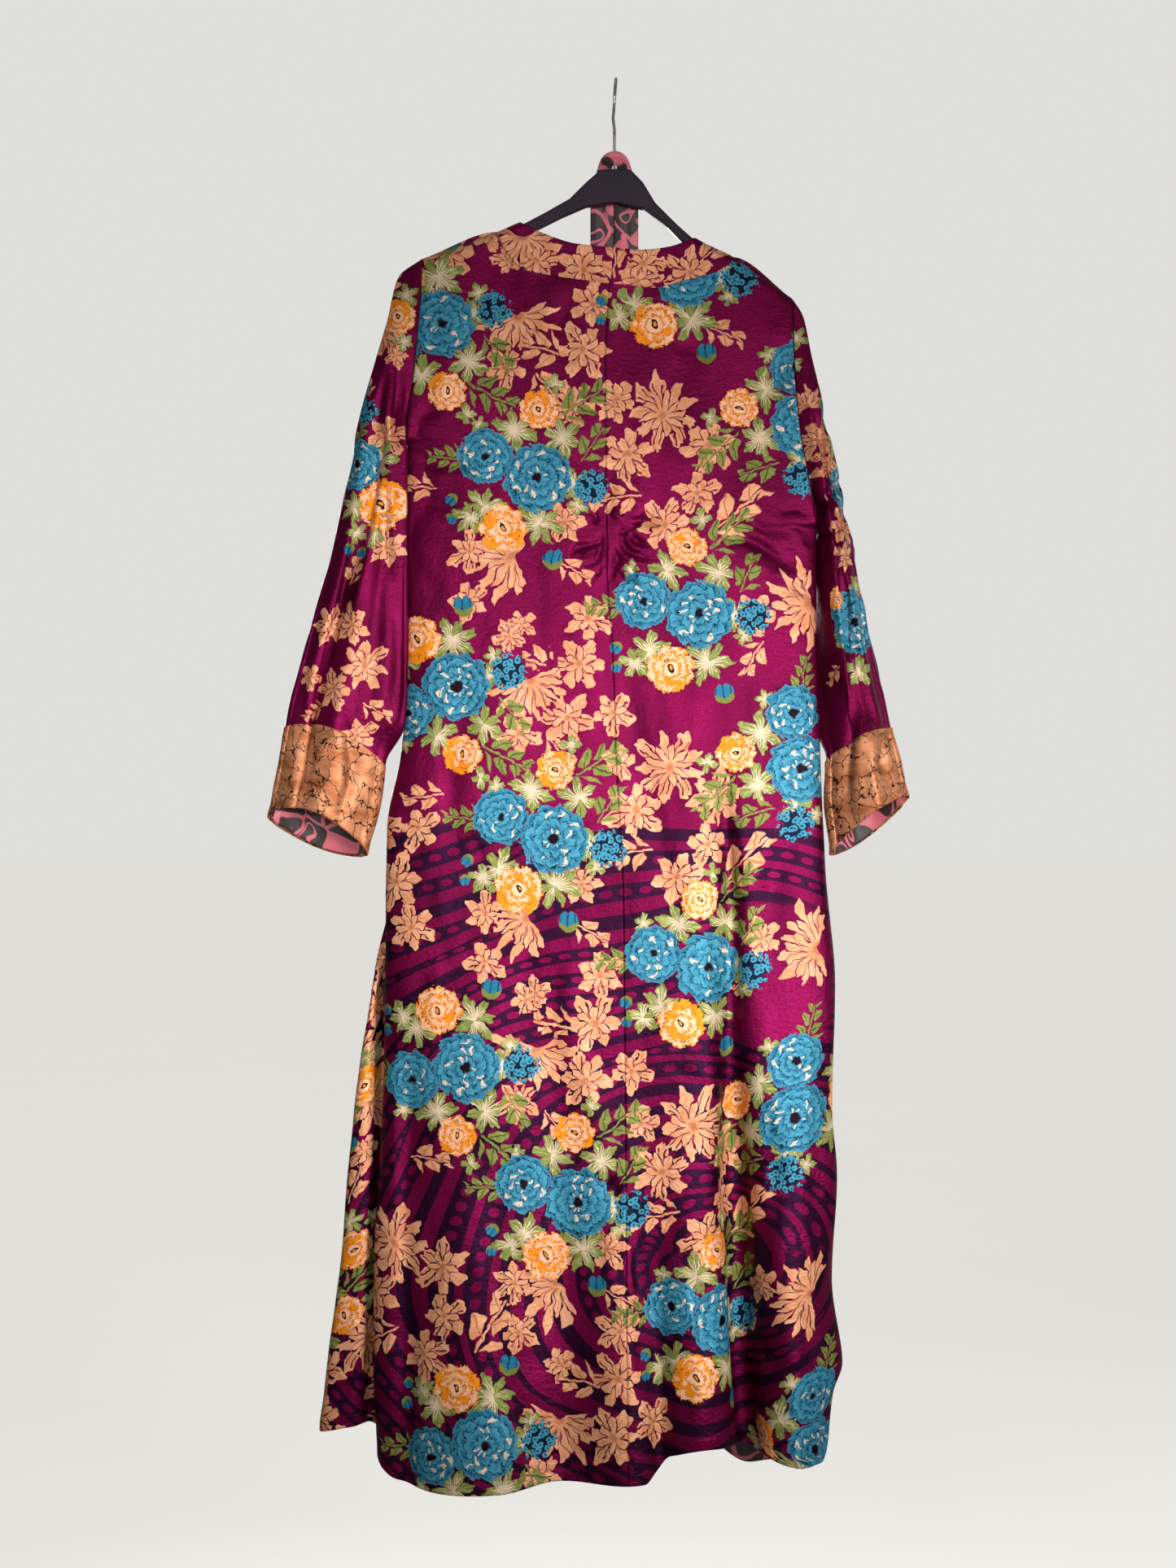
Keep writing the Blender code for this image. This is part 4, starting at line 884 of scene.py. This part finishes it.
def sprigMask(x, y, leaves):
    # pointed leaves on both sides of a stem along x
    q = abs(y)
    below = calc("LESS_THAN", y, 0)
    start = (x + 1) * 0.5 - q * 0.42
    spoke = start * leaves + below * 0.5
    number = floor(spoke)
    off = spoke - number - 0.5
    length = 0.8 - 0.5 * start
    t = calc("DIVIDE", q, length)
    width = larger(1 - t, 0) ** 0.6 * smooth(t, 0.04, 0.4) * 0.6
    held = smooth(start, 0, 0.04) * smooth(start, 1, 0.94)
    leaf = smooth(width - abs(off), 0, 0.07) * held
    stem = smooth(q, 0.05, 0.03) * smooth(abs(x), 1, 0.96)
    return larger(leaf, stem), abs(off), t


def peachLayer(under):
    x, y, seed = handDrawn("peaches", 0.34)
    petals, form, _ = attribute("peachesForm")
    petals = whole(petals)
    radius, turn = polar(x, y)
    isFan, isSprig = isKind(form, fan), isKind(form, twig)
    outer, place, across, own = petalRing(radius, turn, petals, 0.5, 1, seed, 1.12 - isFan * 0.12)
    inner, placeIn, acrossIn, _ = petalRing(radius, turn, petals, 0, 0.58 + isFan * 0.1, seed, 1)
    # a fan keeps the petals on one side only
    spread = 1 - isFan * smooth(abs(turn - 0.5), 0.31, 0.33)
    outline = smooth(inner, -0.2, -0.12) * smooth(placeIn, 0.2, 0.4)
    slit = smooth(abs(abs(across) - 0.34), 0.1, 0.05) * smooth(place, 0.34, 0.44)
    slit = slit * smooth(place, 0.84, 0.7) * smooth(own, 0.52, 0.56) * (1 - isFan)
    flower = smooth(outer, 0, 0.07) * (1 - slit) * (1 - outline)
    flower = larger(flower, smooth(inner, 0, 0.07) * (0.7 + 0.3 * isFan)) * spread
    sprig, off, _ = sprigMask(x, y, petals)
    mask = smooth(flower, 0.35, 0.6) * (1 - isSprig) + sprig * isSprig
    # drawn veins from each petal's foot, and a darker heart
    lines = abs(sine(across * (4.6 + 3 * place)))
    vein = smooth(lines, 0.34, 0.1) * smooth(place, 0.9, 0.6)
    linesIn = abs(sine(acrossIn * 5.2))
    veinIn = smooth(linesIn, 0.3, 0.08) * smooth(placeIn, 0.95, 0.7)
    isInner = smooth(inner, 0, 0.05)
    rust = larger(vein * (1 - isInner), veinIn * isInner) * (1 - isSprig)
    rust = larger(rust, smooth(off, 0.06, 0.02) * isSprig)
    rust = larger(rust, smooth(radius, 0.16, 0.05) * (1 - isSprig))
    wash = cloud(vector(x, y, seed * 7), 3, 3)
    return mix(mask, under, coats("peach", (smooth(wash, 0.35, 0.65), "peachLight"), (rust * 0.72, "rust")))


def leafLayer(under):
    x, y, seed = handDrawn("leaves", 0.34)
    petals, form, _ = attribute("leavesForm")
    petals = whole(petals)
    radius, turn = polar(x, y)
    leaf, place, across, own = petalRing(radius, turn, petals, 0.5, 1, seed, 1.25)
    isSprig = isKind(form, twig)
    sprig, off, t = sprigMask(x, y, petals)
    teeth = abs(sine(place * 16)) * 0.1
    mask = smooth(leaf - teeth * place, 0, 0.08) * (1 - isSprig) + sprig * isSprig
    fibres = cloud(vector(across * 3.4 + own * 9, place * 1.1, seed * 5), 2.4, 2)
    rays = abs(sine(across * 6 + own * 4))
    flare = smooth(place + (fibres - 0.5) * 1.3 + rays * 0.55, 0.86, 0.5)
    flare = flare * smooth(own, 0.15, 0.25) * (1 - isSprig)
    edge = larger(smooth(leaf, 0.2, 0.06) * (1 - isSprig), smooth(off, 0.07, 0.02) * isSprig)
    dark = smooth(rays, 0.26, 0.1) * smooth(place, 0.25, 0.5) * (1 - isSprig)
    colour = coats("oliveLight", (smooth(fibres, 0.3, 0.62), "olive"), (isSprig * 0.7, "olive"),
                   (larger(edge, dark) * 0.85, "oliveDark"), (flare, "cream"))
    return mix(mask, under, colour)


def bloomLayer(under):
    x, y, seed = handDrawn("blooms", 0.32)
    petals, kind, _ = attribute("bloomsForm")
    petals = whole(petals)
    radius, turn = polar(x, y)
    isRose = isKind(kind, rosette)
    isCluster = isKind(kind, tuft)
    isBud = isKind(kind, bud)
    # rings of scalloped petals, each ring half a petal round from the last
    rings = 3.7 - isRose * 0.8
    rough = cloud(vector(x, y, seed * 11), 4.6, 3, 0.6)
    level = radius * rings
    shift = calc("COSINE", level * math.pi) * -0.27 + (rough - 0.5) * 0.9
    spoke = turn * petals + shift + seed * 5
    index = floor(spoke)
    off = abs(spoke - index - 0.5) * 2
    crown = calc("SQRT", larger(1 - off * off, 0))
    teeth = abs(sine(spoke * (4 * math.pi)))
    level = level + 0.5 - 0.62 * crown - (0.15 + 0.07 * isRose) * teeth + (rough - 0.5)
    number = floor(level)
    tip = level - number
    own = chance(index * 1.7 + number * 7.3 + seed * 13)
    disc = smooth(rings - level, 0, 0.08)
    streak = smooth(abs(sine(spoke * (3 * math.pi) + rough * 5)), 0.34, 0.12)
    heart = smooth(radius + (rough - 0.5) * 0.3, 0.19, 0.12)
    # blue: navy at each petal's foot, cream strokes on some petals
    fleck = smooth(off + (rough - 0.5) * 0.7, 0.36, 0.26) * smooth(own, 0.64, 0.66)
    fleck = fleck * smooth(tip, 0.2, 0.3) * smooth(tip, 1, 0.92) * (1 - streak)
    fleck = fleck * smooth(radius, 0.88, 0.8) * smooth(radius, 0.14, 0.2)
    blue = coats("blue", (smooth(tip, 0.15, 0.75), "blueLight"),
                 (streak * smooth(tip, 0.85, 0.35) * 0.85, "blueDeep"), (streak * smooth(tip, 0.46, 0.16), "navy"),
                 (smooth(tip, 0.15, 0.05), "navy"), (fleck, "cream"), (heart, "ink"))
    # orange: pink petals with orange tips, some orange all over, drawn in ink
    warm = larger(smooth(tip + (rough - 0.5) * 1.1, 0.56, 0.7), smooth(own, 0.74, 0.78))
    strokes = smooth(tip, 0.13, 0.03) * smooth(own, 0.4, 0.36) * smooth(radius, 0.15, 0.3)
    seedX, seedY = x + y * 0.35, y - 0.02
    pod = calc("SQRT", (seedX / 0.12) ** 2 + (seedY / 0.2) ** 2) + (rough - 0.5) * 0.7
    rose = coats("rosePink", (warm, "orange"), (streak * smooth(tip, 0.8, 0.4) * 0.8, "orange"),
                 (smooth(tip, 0.16, 0.05), "orangeDeep"), (strokes, "ink"), (smooth(radius, 0.36, 0.27), "rosePink"),
                 (smooth(pod, 1.08, 0.92), "ink"), (smooth(pod, 0.56, 0.44), "orange"))
    flower = mix(isRose, blue, rose)
    # small florets in a bunch
    away = out(cells(vector(x + seed * 40, y), 3, 0.8), "Distance")
    gap = smooth(away + (rough - 0.5) * 0.5, 0.42, 0.5)
    bunch = coats("blue", (smooth(away, 0.1, 0.4), "blueLight"), (smooth(away, 0.13, 0.08), "ink"), (gap, "navy"))
    bunchMask = smooth(radius + (rough - 0.5) * 0.9 + away * 0.5, 1.1, 1.04)
    flower = mix(isCluster, flower, bunch)
    # a bud: a cup of upright petals with a green foot
    saw = abs(sine(x * 5.2 + 0.4))
    side = smooth((x / 0.8) ** 2 + ((y + 0.1) / 0.86) ** 2, 1, 0.92)
    cup = calc("MINIMUM", side, smooth(y - saw * 0.24, 0.5, 0.42))
    closed = coats("blue", (smooth(saw, 0.42, 0.14), "blueDeep"), (smooth(saw, 0.16, 0.06), "navy"),
                   (smooth(y - abs(x) * 0.5, -0.44, -0.56), "olive"))
    flower = mix(isBud, flower, closed)
    mask = disc * (1 - isCluster) * (1 - isBud) + bunchMask * isCluster + cup * isBud
    # dark drawn strokes just outside the flower
    rim = smooth(rings - level, -0.5, -0.1) * (1 - isCluster) * (1 - isBud)
    rim = rim * smooth(abs(sine(spoke * (5 * math.pi))), 0.55, 0.3)
    under = mix(rim * smooth(rough, 0.44, 0.52), under, "ink")
    return mix(mask, under, flower)


def chainLayer(under):
    # dark bands on the lower skirt, some of them linked chains with oval holes
    stripe, turn, strength = attribute("chain")
    number = floor(stripe)
    run = turn * (number + 0.5) * 1.3
    own = chance(number * 1.73 + 0.4)
    swell = cloud(vector(run * 0.065, number * 7.7, 0), 1, 1)
    off = abs(stripe - number - 0.5)
    halfWidth = (0.22 + 0.2 * own) * smooth(swell, 0.22, 0.5)
    band = smooth(halfWidth - off, 0, 0.035)
    isChain = calc("GREATER_THAN", own, 0.45)
    link = calc("FRACT", run + own * 7)
    oval = ((link - 0.5) / 0.33) ** 2 + ((stripe - number - 0.5) / (halfWidth * 0.44 + 0.001)) ** 2
    hole = smooth(oval, 1.15, 0.85) * isChain * smooth(halfWidth, 0.14, 0.18)
    shown = band * (1 - hole) * smooth(strength, 0.3, 0.6)
    return mix(shown * 0.94, under, "band")


def satinFace(colour, slub, lean):
    # the sheen of satin takes the cloth's own colour, so it is partly metallic, and less so on pale print
    put({"Base Color": colour, "Metallic": 0.74 - 0.44 * smooth(parts(colour)[1], 0.02, 0.16),
         "Roughness": 0.36 + 0.16 * slub, "Specular IOR Level": 0.12, "Anisotropic": 0.4, "Normal": lean})


def satinPrint():
    material = newFinish("plumSatinPrint")
    u, v = clothMap()
    # the ground: uneven dye, and the satin's short slubs
    dye = cloud(vector(u, v), 9, 3)
    slub = cloud(vector(u * 420, v * 900), 1, 3, 0.65)
    mottle = cloud(vector(u * 190, v * 260), 1, 3, 0.6)
    ground = coats("ground", (smooth(dye, 0.3, 0.7), "groundLight"), (smooth(slub, 0.56, 0.34) * 0.6, "groundDark"))
    # the hem: turned up and stitched 11 mm above the edge
    hem = attribute("hem")[0]
    dash = smooth(abs(calc("FRACT", u * 340) - 0.5), 0.44, 0.36)
    stitch = smooth(abs(hem - 0.011), 0.0008, 0.0004) * dash
    colour = coats(bloomLayer(leafLayer(peachLayer(chainLayer(ground)))),
                   (smooth(slub, 0.5, 0.32) * 0.22, "groundDark"), (stitch * 0.6, "groundDark"))
    weave = cloud(vector(u * 900, v * 2600), 1, 2)
    crush = cloud(vector(u * 38, v * 30, 2), 1, 3, 0.6)
    lean = lift(crush, 0.0022, 0.6, lift(smooth(hem, 0.0125, 0.01), 0.0006, 0.6))
    lean = lift(mottle, 0.0008, 0.9, lean)
    lean = lift(slub, 0.0003, 0.6, lean)
    satinFace(colour, slub, lift(weave, 0.00012, 0.5, lean))
    return material


def liningPrint():
    # dusty pink with large dark brown shapes
    material = newFinish("pinkLiningPrint")
    u, v = clothMap()
    bend = parts(cloud(vector(u, v, 4), 22, 1, 0.5, "Color"))
    spot = vector(u * 34 + bend[0] * 2.2, v * 24 + bend[1] * 2.2, 0)
    edges = out(cells(spot, 1, 0.9, feature="DISTANCE_TO_EDGE"), "Distance")
    shapes = cells(spot, 1, 0.9)
    own = parts(out(shapes, "Color"))[0]
    shape = smooth(edges, 0.07, 0.1) * smooth(own, 0.3, 0.32)
    slit = smooth(abs(out(shapes, "Distance") - 0.22), 0.05, 0.03)
    shape = shape * (1 - slit * smooth(own, 0.66, 0.68))
    grain = cloud(vector(u * 600, v * 900, 0), 1, 2)
    colour = mix(shape, mix(grain, "pink", "pinkDeep"), mix(grain, "brown", "brownDark"))
    put({"Base Color": colour, "Roughness": 0.46 + 0.1 * grain, "Normal": lift(grain, 0.0002, 0.5),
         "Sheen Weight": 0.15})
    return material


def cuffSatin():
    # copper satin with black crackle and brown streaks
    material = newFinish("copperCuffSatin")
    u, v = clothMap()
    place = vector(u, v)
    bend = parts(cloud(place, 60, 3, 0.6, "Color"))
    spot = vector(u * 62 + bend[0] * 1.3, v * 50 + bend[1] * 1.3, 0)
    crack, fine = (out(cells(spot, scale, feature="DISTANCE_TO_EDGE"), "Distance") for scale in (1, 2.6))
    broken = cloud(place, 42, 2)
    line = smooth(crack, 0.044, 0.02) * smooth(broken, 0.36, 0.44)
    line = larger(line, smooth(fine, 0.085, 0.04) * smooth(broken, 0.53, 0.6))
    wash = cloud(vector(u * 26, v * 60, 3), 1, 4, 0.65)
    slub = cloud(vector(u * 280, v * 1100, 0), 1, 3, 0.6)
    colour = coats("copper", (smooth(wash, 0.38, 0.66), "copperDark"), (smooth(slub, 0.5, 0.3) * 0.4, "copperDeep"),
                   (line, "crack"))
    satinFace(colour, slub, lift(slub, 0.0003, 0.5, lift(wash, 0.0005, 0.5)))
    return material


def hangerPlastic():
    material = newFinish("auberginePlastic")
    place = objectPlace()
    speck = cloud(place, 900, 3, 0.6)
    worn = cloud(place, 24, 3)
    put({"Base Color": mix(smooth(worn, 0.35, 0.7), "plastic", "plasticWorn"), "Specular IOR Level": 0.22,
         "Roughness": 0.42 + 0.12 * speck, "Normal": lift(speck, 0.00008, 0.4)})
    return material


def hookWire():
    material = newFinish("bareHookWire")
    place = objectPlace()
    x, y, z = parts(place)
    drawn = cloud(vector(x * 3000, y * 3000, z * 120), 1, 2)
    spots = cloud(place, 160, 3)
    put({"Base Color": mix(smooth(spots, 0.55, 0.7), "steel", "steelWorn"), "Metallic": 1,
         "Roughness": 0.26 + 0.2 * drawn})
    return material


satin, lining, copper = satinPrint(), liningPrint(), cuffSatin()
print("finishes ready")


def columnsFor(width, fineInner=0):
    # fine at the side edge, then even, and fine again by the seam where asked
    edge = [0, 0.0012, 0.003, 0.0055, 0.0085]
    middle = np.arange(edge[-1] + robe["cell"], width - fineInner - 0.002, robe["cell"])
    inner = np.arange(width - fineInner, width - 0.001, robe["fine"])
    return np.concatenate((edge, middle, inner, [width])) / width


panelCloth = {"wave": 0.0022, "waveSize": 0.055, "wrinkle": 0.001, "wrinkleSize": 0.018, "puckered": 0.066,
              "backWidth": 0.25, "leftWidth": 0.27, "rightWidth": 0.22, "liningDrop": 0.0019, "liningFrom": 0.84}


def bodyPanel(name, node, section, width, outward, side, prints):
    nearSide = side == "back"
    top, hem = ("backTop", "backHem") if nearSide else ("ridge", "frontHem")
    grid = panelGrid(section, top, hem, columnsFor(width, panelCloth["puckered"] if nearSide else 0), panelDown)
    normals = gridNormals(grid, False, outward)
    shaped = crease(grid, normals, creases[side], nearSide, 0)
    shaped = ripple(shaped, normals, panelCloth["wave"], panelCloth["waveSize"], 3 if nearSide else 8)
    shaped = ripple(shaped, normals, panelCloth["wrinkle"], panelCloth["wrinkleSize"], 5)
    grid = grid + (shaped - grid) * edgeFade(grid)
    if name == "frontLeft":
        grid = crease(grid, normals, creases["flap"], True, 0)
    clothPiece(name, node, grid, outward, panelCoordinates(grid, -1), (satin, lining), prints, True)


bodyPanel("backLeft", "back_left", backSection("leftEdge"), panelCloth["backWidth"], -1, "back", [("back", True)])
bodyPanel("backRight", "back_right", backSection("rightEdge"), panelCloth["backWidth"], 1, "back", [("back", True)])
bodyPanel("frontLeft", "front_left", frontLeftSection, panelCloth["leftWidth"], 1, "front",
          [("front", False), ("flap", True)])
bodyPanel("frontRight", "front_right", frontRightSection, panelCloth["rightWidth"], -1, "front", [("front", False)])
print("body panels ready")


bandCloth = {"around": 180, "rows": 27, "under": -0.08, "columns": 12, "lift": 0.0006, "wave": 0.0006,
             "waveSize": 0.03, "frontWave": 0.0008, "frontWaveSize": 0.04}


def neckBands():
    grid = neckBandGrid(np.linspace(0, 1, bandCloth["around"]), np.linspace(bandCloth["under"], 1, bandCloth["rows"]))
    grid = ripple(grid, gridNormals(grid, False, 1), bandCloth["wave"], bandCloth["waveSize"], 1)
    clothPiece("bandBack", "band_back", grid, 1, panelCoordinates(grid, 0), (satin, lining),
               [("band", True)])
    for name, node, rests, start in (("bandLeft", "band_left", "frontLeft", 1),
                                     ("bandRight", "band_right", "frontRight", 3)):
        grid = panelGrid(bandSection(start, start + 1), "ridge", "frontHem",
                         np.linspace(0, 1, bandCloth["columns"]), panelDown)
        normals = gridNormals(grid, False, 1)
        grid = ripple(grid + normals * bandCloth["lift"], normals, bandCloth["frontWave"],
                      bandCloth["frontWaveSize"], 2)
        clothPiece(name, node, grid, 1, panelCoordinates(grid, 0), (satin, lining), [(name, False)], True)


neckBands()


tuck = {"start": 0.012, "cuffZ": -0.7, "fade": 0.035, "spread": 0.33}


def tuckIn(grid, turn, sleeve):
    # the sleeve's inner side hangs against the body's edge: in front of it on the left, behind it on the right
    folded = np.where(turn < 0.5, 2 * turn, 2 - 2 * turn)
    inner = grid[:, grid.shape[1] // 2]
    reach = (smoothStep((inner[0, 2] - inner[:, 2]) / tuck["start"])
             * smoothStep((inner[:, 2] - tuck["cuffZ"]) / tuck["fade"]))
    amount = reach[:, None] * smoothStep((folded - sleeve["tuckFrom"]) / tuck["spread"])[None, :]
    edge = at(sleeve["edge"], inner[:, 2])
    moved = np.array(grid)
    moved[..., 0] += (edge - sleeve["side"] * sleeve["tuckUnder"] - inner[:, 0])[:, None] * amount
    moved[..., 1] += sleeve["side"] * sleeve["tuckBack"] * amount
    return moved


cuffCloth = {"rows": 44, "shell": 0.0009, "lift": 0.0016, "roll": 0.0012, "rollShare": 0.08, "liningDrop": 0.0022,
             "wave": 0.0012, "waveSize": 0.022, "wrinkle": 0.0005, "wrinkleSize": 0.009}


def sleevePieces(sleeve, name):
    low, side, count = name.lower(), sleeve["side"], sleeveCloth["around"]
    lines = creases[low + "Sleeve"]
    turn = np.arange(count) / count
    last = len(sleeve["rings"]) - 1
    down = np.linspace(0, 1 - sleeveCloth["stopShort"] / last, sleeveCloth["rows"])
    grid = sleeveGrid(sleeve, turn, down)
    normals = gridNormals(grid, True, side)
    near = crease(grid, normals, lines, True, 0)
    far = crease(near, normals, [(*line[:5], line[5] * sleeveCloth["farShare"]) for line in lines[::-1]], False, 1.3)
    shaped = ripple(far, normals, sleeveCloth["wave"], sleeveCloth["waveSize"], 4)
    settled = smoothStep(down * last / sleeveCloth["settleRings"])[:, None, None]
    grid = tuckIn(grid + (shaped - grid) * settled, turn, sleeve)
    clothPiece("sleeve" + name, "sleeve_" + low, grid, side, tubeCoordinates(grid, sleeve),
               (satin, lining), [(low + "Sleeve", True), (low + "SleeveFar", False)])
    # the cuff: turned back over the sleeve, a little fuller at its rolled lower edge
    cuffDown = np.linspace(sleeve["cuffTop"] / last, 1, cuffCloth["rows"])
    upTo = np.minimum(cuffDown, down[-1])
    base = np.stack([np.stack([np.interp(upTo, down, grid[:, i, k]) for k in range(3)], 1)
                     for i in range(count)], 1)
    under = sleeveGrid(sleeve, turn, cuffDown) + (base - sleeveGrid(sleeve, turn, upTo))
    normals = gridNormals(under, True, side)
    toEdge = 1 - np.linspace(0, 1, cuffCloth["rows"])
    roll = cuffCloth["lift"] + cuffCloth["roll"] * np.exp(-(toEdge / cuffCloth["rollShare"]) ** 2)
    cuff = ripple(under + normals * roll[:, None, None], normals, cuffCloth["wave"], cuffCloth["waveSize"], 6)
    cuff = ripple(cuff, normals, cuffCloth["wrinkle"], cuffCloth["wrinkleSize"], 9)
    clothPiece("cuff" + name, "cuff_" + low, cuff, side, tubeCoordinates(cuff, sleeve),
               (copper, copper), thickness=cuffCloth["shell"])
    inside = under[:-1] - normals[:-1] * cuffCloth["liningDrop"]
    clothPiece("mouthLining" + name, "sleeve_lining_" + low, inside, side,
               tubeCoordinates(inside, sleeve), (lining, lining))


sleevePieces(leftSleeve, "Left")
sleevePieces(rightSleeve, "Right")
print("sleeves ready")


def hemLining():
    grid = panelGrid(frontRightSection, "ridge", "frontHem", columnsFor(panelCloth["rightWidth"]), panelDown)
    grid = grid - gridNormals(grid, False, -1) * panelCloth["liningDrop"]
    grid = grid[panelDown > panelCloth["liningFrom"], 8:-3]  # short of the side edge and of the band
    clothPiece("hemLining", "hem_lining", grid, -1, panelCoordinates(grid, -1), (lining, lining))


hemLining()

belt = {
    "width": 0.025, "loopWidth": 0.014, "thick": 0.0012, "loopRadius": 0.0105, "loopCentre": -0.0905,
    "low": -0.89, "tailTop": -0.112, "tailX": 0.0123, "tailStep": 0.055, "tailApart": 0.0016,
    "neckDepth": 0.0075, "loopBack": 0.0085, "loopDepth": 0.0135, "clear": 0.0018, "neckClear": 0.001,
    "pleat": 0.0007, "neckZ": -0.15, "neckFade": 0.06, "openZ": -0.3, "openFade": 0.1, "bendZ": -0.24,
    "wave": 0.0006, "waveSize": 0.03}


def beltY(x, z):
    share = smoothStep((belt["neckZ"] - z) / belt["neckFade"])
    openNeck = smoothStep((z - belt["openZ"]) / belt["openFade"])
    return belt["neckDepth"] * (1 - share) + (frontY(x, z) + belt["clear"] + belt["neckClear"] * openNeck) * share


def beltTail(x, low, count, apart):
    heights = np.concatenate((np.linspace(low, belt["bendZ"], count), np.linspace(-0.236, belt["tailTop"], 32)))
    return [(x, float(beltY(x, z)) + apart, z, belt["width"]) for z in heights]


def beltPiece():
    points = beltTail(-belt["tailX"], belt["low"], 150, belt["tailApart"])
    for k in range(25):
        angle = math.pi * (1 - k / 24)
        rise = math.sin(angle)
        points.append((belt["loopRadius"] * math.cos(angle),
                       belt["loopBack"] - belt["loopDepth"] * float(smoothStep(rise * 1.15)),
                       belt["loopCentre"] + belt["loopRadius"] * rise, belt["loopWidth"]))
    path = np.array(points + beltTail(belt["tailX"], belt["low"] + belt["tailStep"], 140, 0)[::-1])
    # ease the change of width and direction into the loop
    for _ in range(6):
        path[1:-1] = (path[:-2] + 2 * path[1:-1] + path[2:]) / 4
    tangent = np.gradient(path[:, :3], axis=0)
    tangent /= np.linalg.norm(tangent, axis=1, keepdims=True)
    side = np.stack((tangent[:, 2], 0 * tangent[:, 0], -tangent[:, 0]), 1)
    side /= np.linalg.norm(side, axis=1, keepdims=True)
    normal = np.cross(tangent, side)
    share = np.linspace(-1, 1, 13)
    # a flat belt with two soft lengthwise pleats, pinched where it goes round the hook
    pleat = belt["pleat"] * np.cos(share * 2.2 * math.pi)
    grid = (path[:, None, :3] + side[:, None] * (path[:, 3:4] / 2 * share[None])[..., None]
            + normal[:, None] * pleat[None, :, None])
    grid = ripple(grid, normal[:, None] + 0 * grid, belt["wave"], belt["waveSize"], 3)
    run = np.concatenate(([0], np.linalg.norm(np.diff(path[:, :3], axis=0), axis=1).cumsum()))
    u = share[None] * path[:, 3:4] / 2
    clothPiece("beltCloth", "belt", grid, 1, (u, run[:, None] + 0 * u), (lining, lining),
               thickness=belt["thick"])


beltPiece()

for node, material in (("hanger", hangerPlastic()), ("hook", hookWire())):
    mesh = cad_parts[node].data
    mesh.materials.clear()
    mesh.materials.append(material)
print("belt, hanger and hook ready")

# The stage: pale floor, soft light, and a level camera at the height of the robe's middle
view = {"x": -0.0273, "z": -0.7253, "distance": 2.25, "frameHeight": 1.6187, "sensor": 36, "floorSize": 60,
        "floorZ": -1.9}

bpy.ops.mesh.primitive_plane_add(size=view["floorSize"], location=(0, 0, view["floorZ"]))
paleFloor = bpy.context.active_object
paleFloor.name = "paleFloor"
paleFloor.data.transform(paleFloor.matrix_world)
paleFloor.matrix_world.identity()
paleFloor.data.materials.append(newFinish("paleFloor"))
put({"Base Color": mix(cloud(objectPlace(), 3), "floor", "floorPale"), "Roughness": 0.9,
     "Specular IOR Level": 0.1, "Emission Color": tint(*colours["floorPale"]), "Emission Strength": 0.68})
paleFloor.visible_diffuse = paleFloor.visible_glossy = False

# the back is lit most at mid height and from the right, and falls off towards the shoulders and the hem
for name, place, aim, size, power, spread in (
        ("keyRight", (1.15, -1.9, -0.58), (-0.08, 0, -0.72), (0.4, 0.34), 1.34, 40),
        ("beltLight", (0.3, -2, -0.02), (0, 0, -0.085), (0.2, 0.2), 0.07, 12),
        ("sheen", (-0.05, -2.4, -0.5), (-0.09, 0, -0.66), (0.7, 0.3), 0.95, 30),
        ("sheenLow", (0.02, -2.4, -1.02), (0.02, 0, -1.14), (0.7, 0.25), 0.22, 22),
        ("keyLow", (1.2, -1.8, -0.85), (-0.01, 0, -1.24), (0.4, 0.4), 2, 50),
        ("fillLeft", (-1.7, -1.8, -0.7), (0, 0, -0.9), (1, 1), 0.42, 180),
        ("side", (2.2, -0.9, -0.5), (0, 0, -0.8), (0.8, 1.2), 3, 180),
        ("farSide", (-0.9, 2.1, -0.3), (0, 0, -0.66), (0.8, 0.6), 14, 90),
        ("farRight", (1.8, 1.2, -0.4), (0, 0, -0.8), (1, 1.2), 6, 180)):
    light = bpy.data.lights.new(name, "AREA")
    light.shape, light.size, light.size_y = "RECTANGLE", size[0], size[1]
    light.energy, light.spread = power, math.radians(spread)
    lamp = addObject(name, light)
    lamp.location = place
    lamp.rotation_euler = (Vector(aim) - Vector(place)).to_track_quat("-Z", "Y").to_euler()

# light from straight overhead fills the floor and hardly touches the hanging cloth
overhead = bpy.data.lights.new("overhead", "SUN")
overhead.energy, overhead.angle = 0.25, math.radians(40)
addObject("overhead", overhead)

# a pale room behind, dimmer as a light than it looks
world = bpy.data.worlds.new("paleRoom")
bpy.context.scene.world = world
world.use_nodes = True
Wire.tree = world.node_tree
cameraRay = out(addNode("LightPath"), "Is Camera Ray")
room = Wire.tree.nodes["Background"]
connect(room.inputs[0], (0.8, 0.795, 0.775, 1))
connect(room.inputs[1], out(addNode("MapRange", {"Value": cameraRay, "To Min": 0.2, "To Max": 0.92})))

lens = bpy.data.cameras.new("camera")
lens.sensor_width = view["sensor"]
lens.lens = view["sensor"] * view["distance"] / view["frameHeight"]
lens.clip_start = 0.05
camera = addObject("camera", lens)
camera.location = (view["x"], -view["distance"], view["z"])
camera.rotation_euler = (math.radians(90), 0, 0)
bpy.context.scene.camera = camera
bpy.context.scene.view_settings.view_transform = "Standard"
print("stage ready")
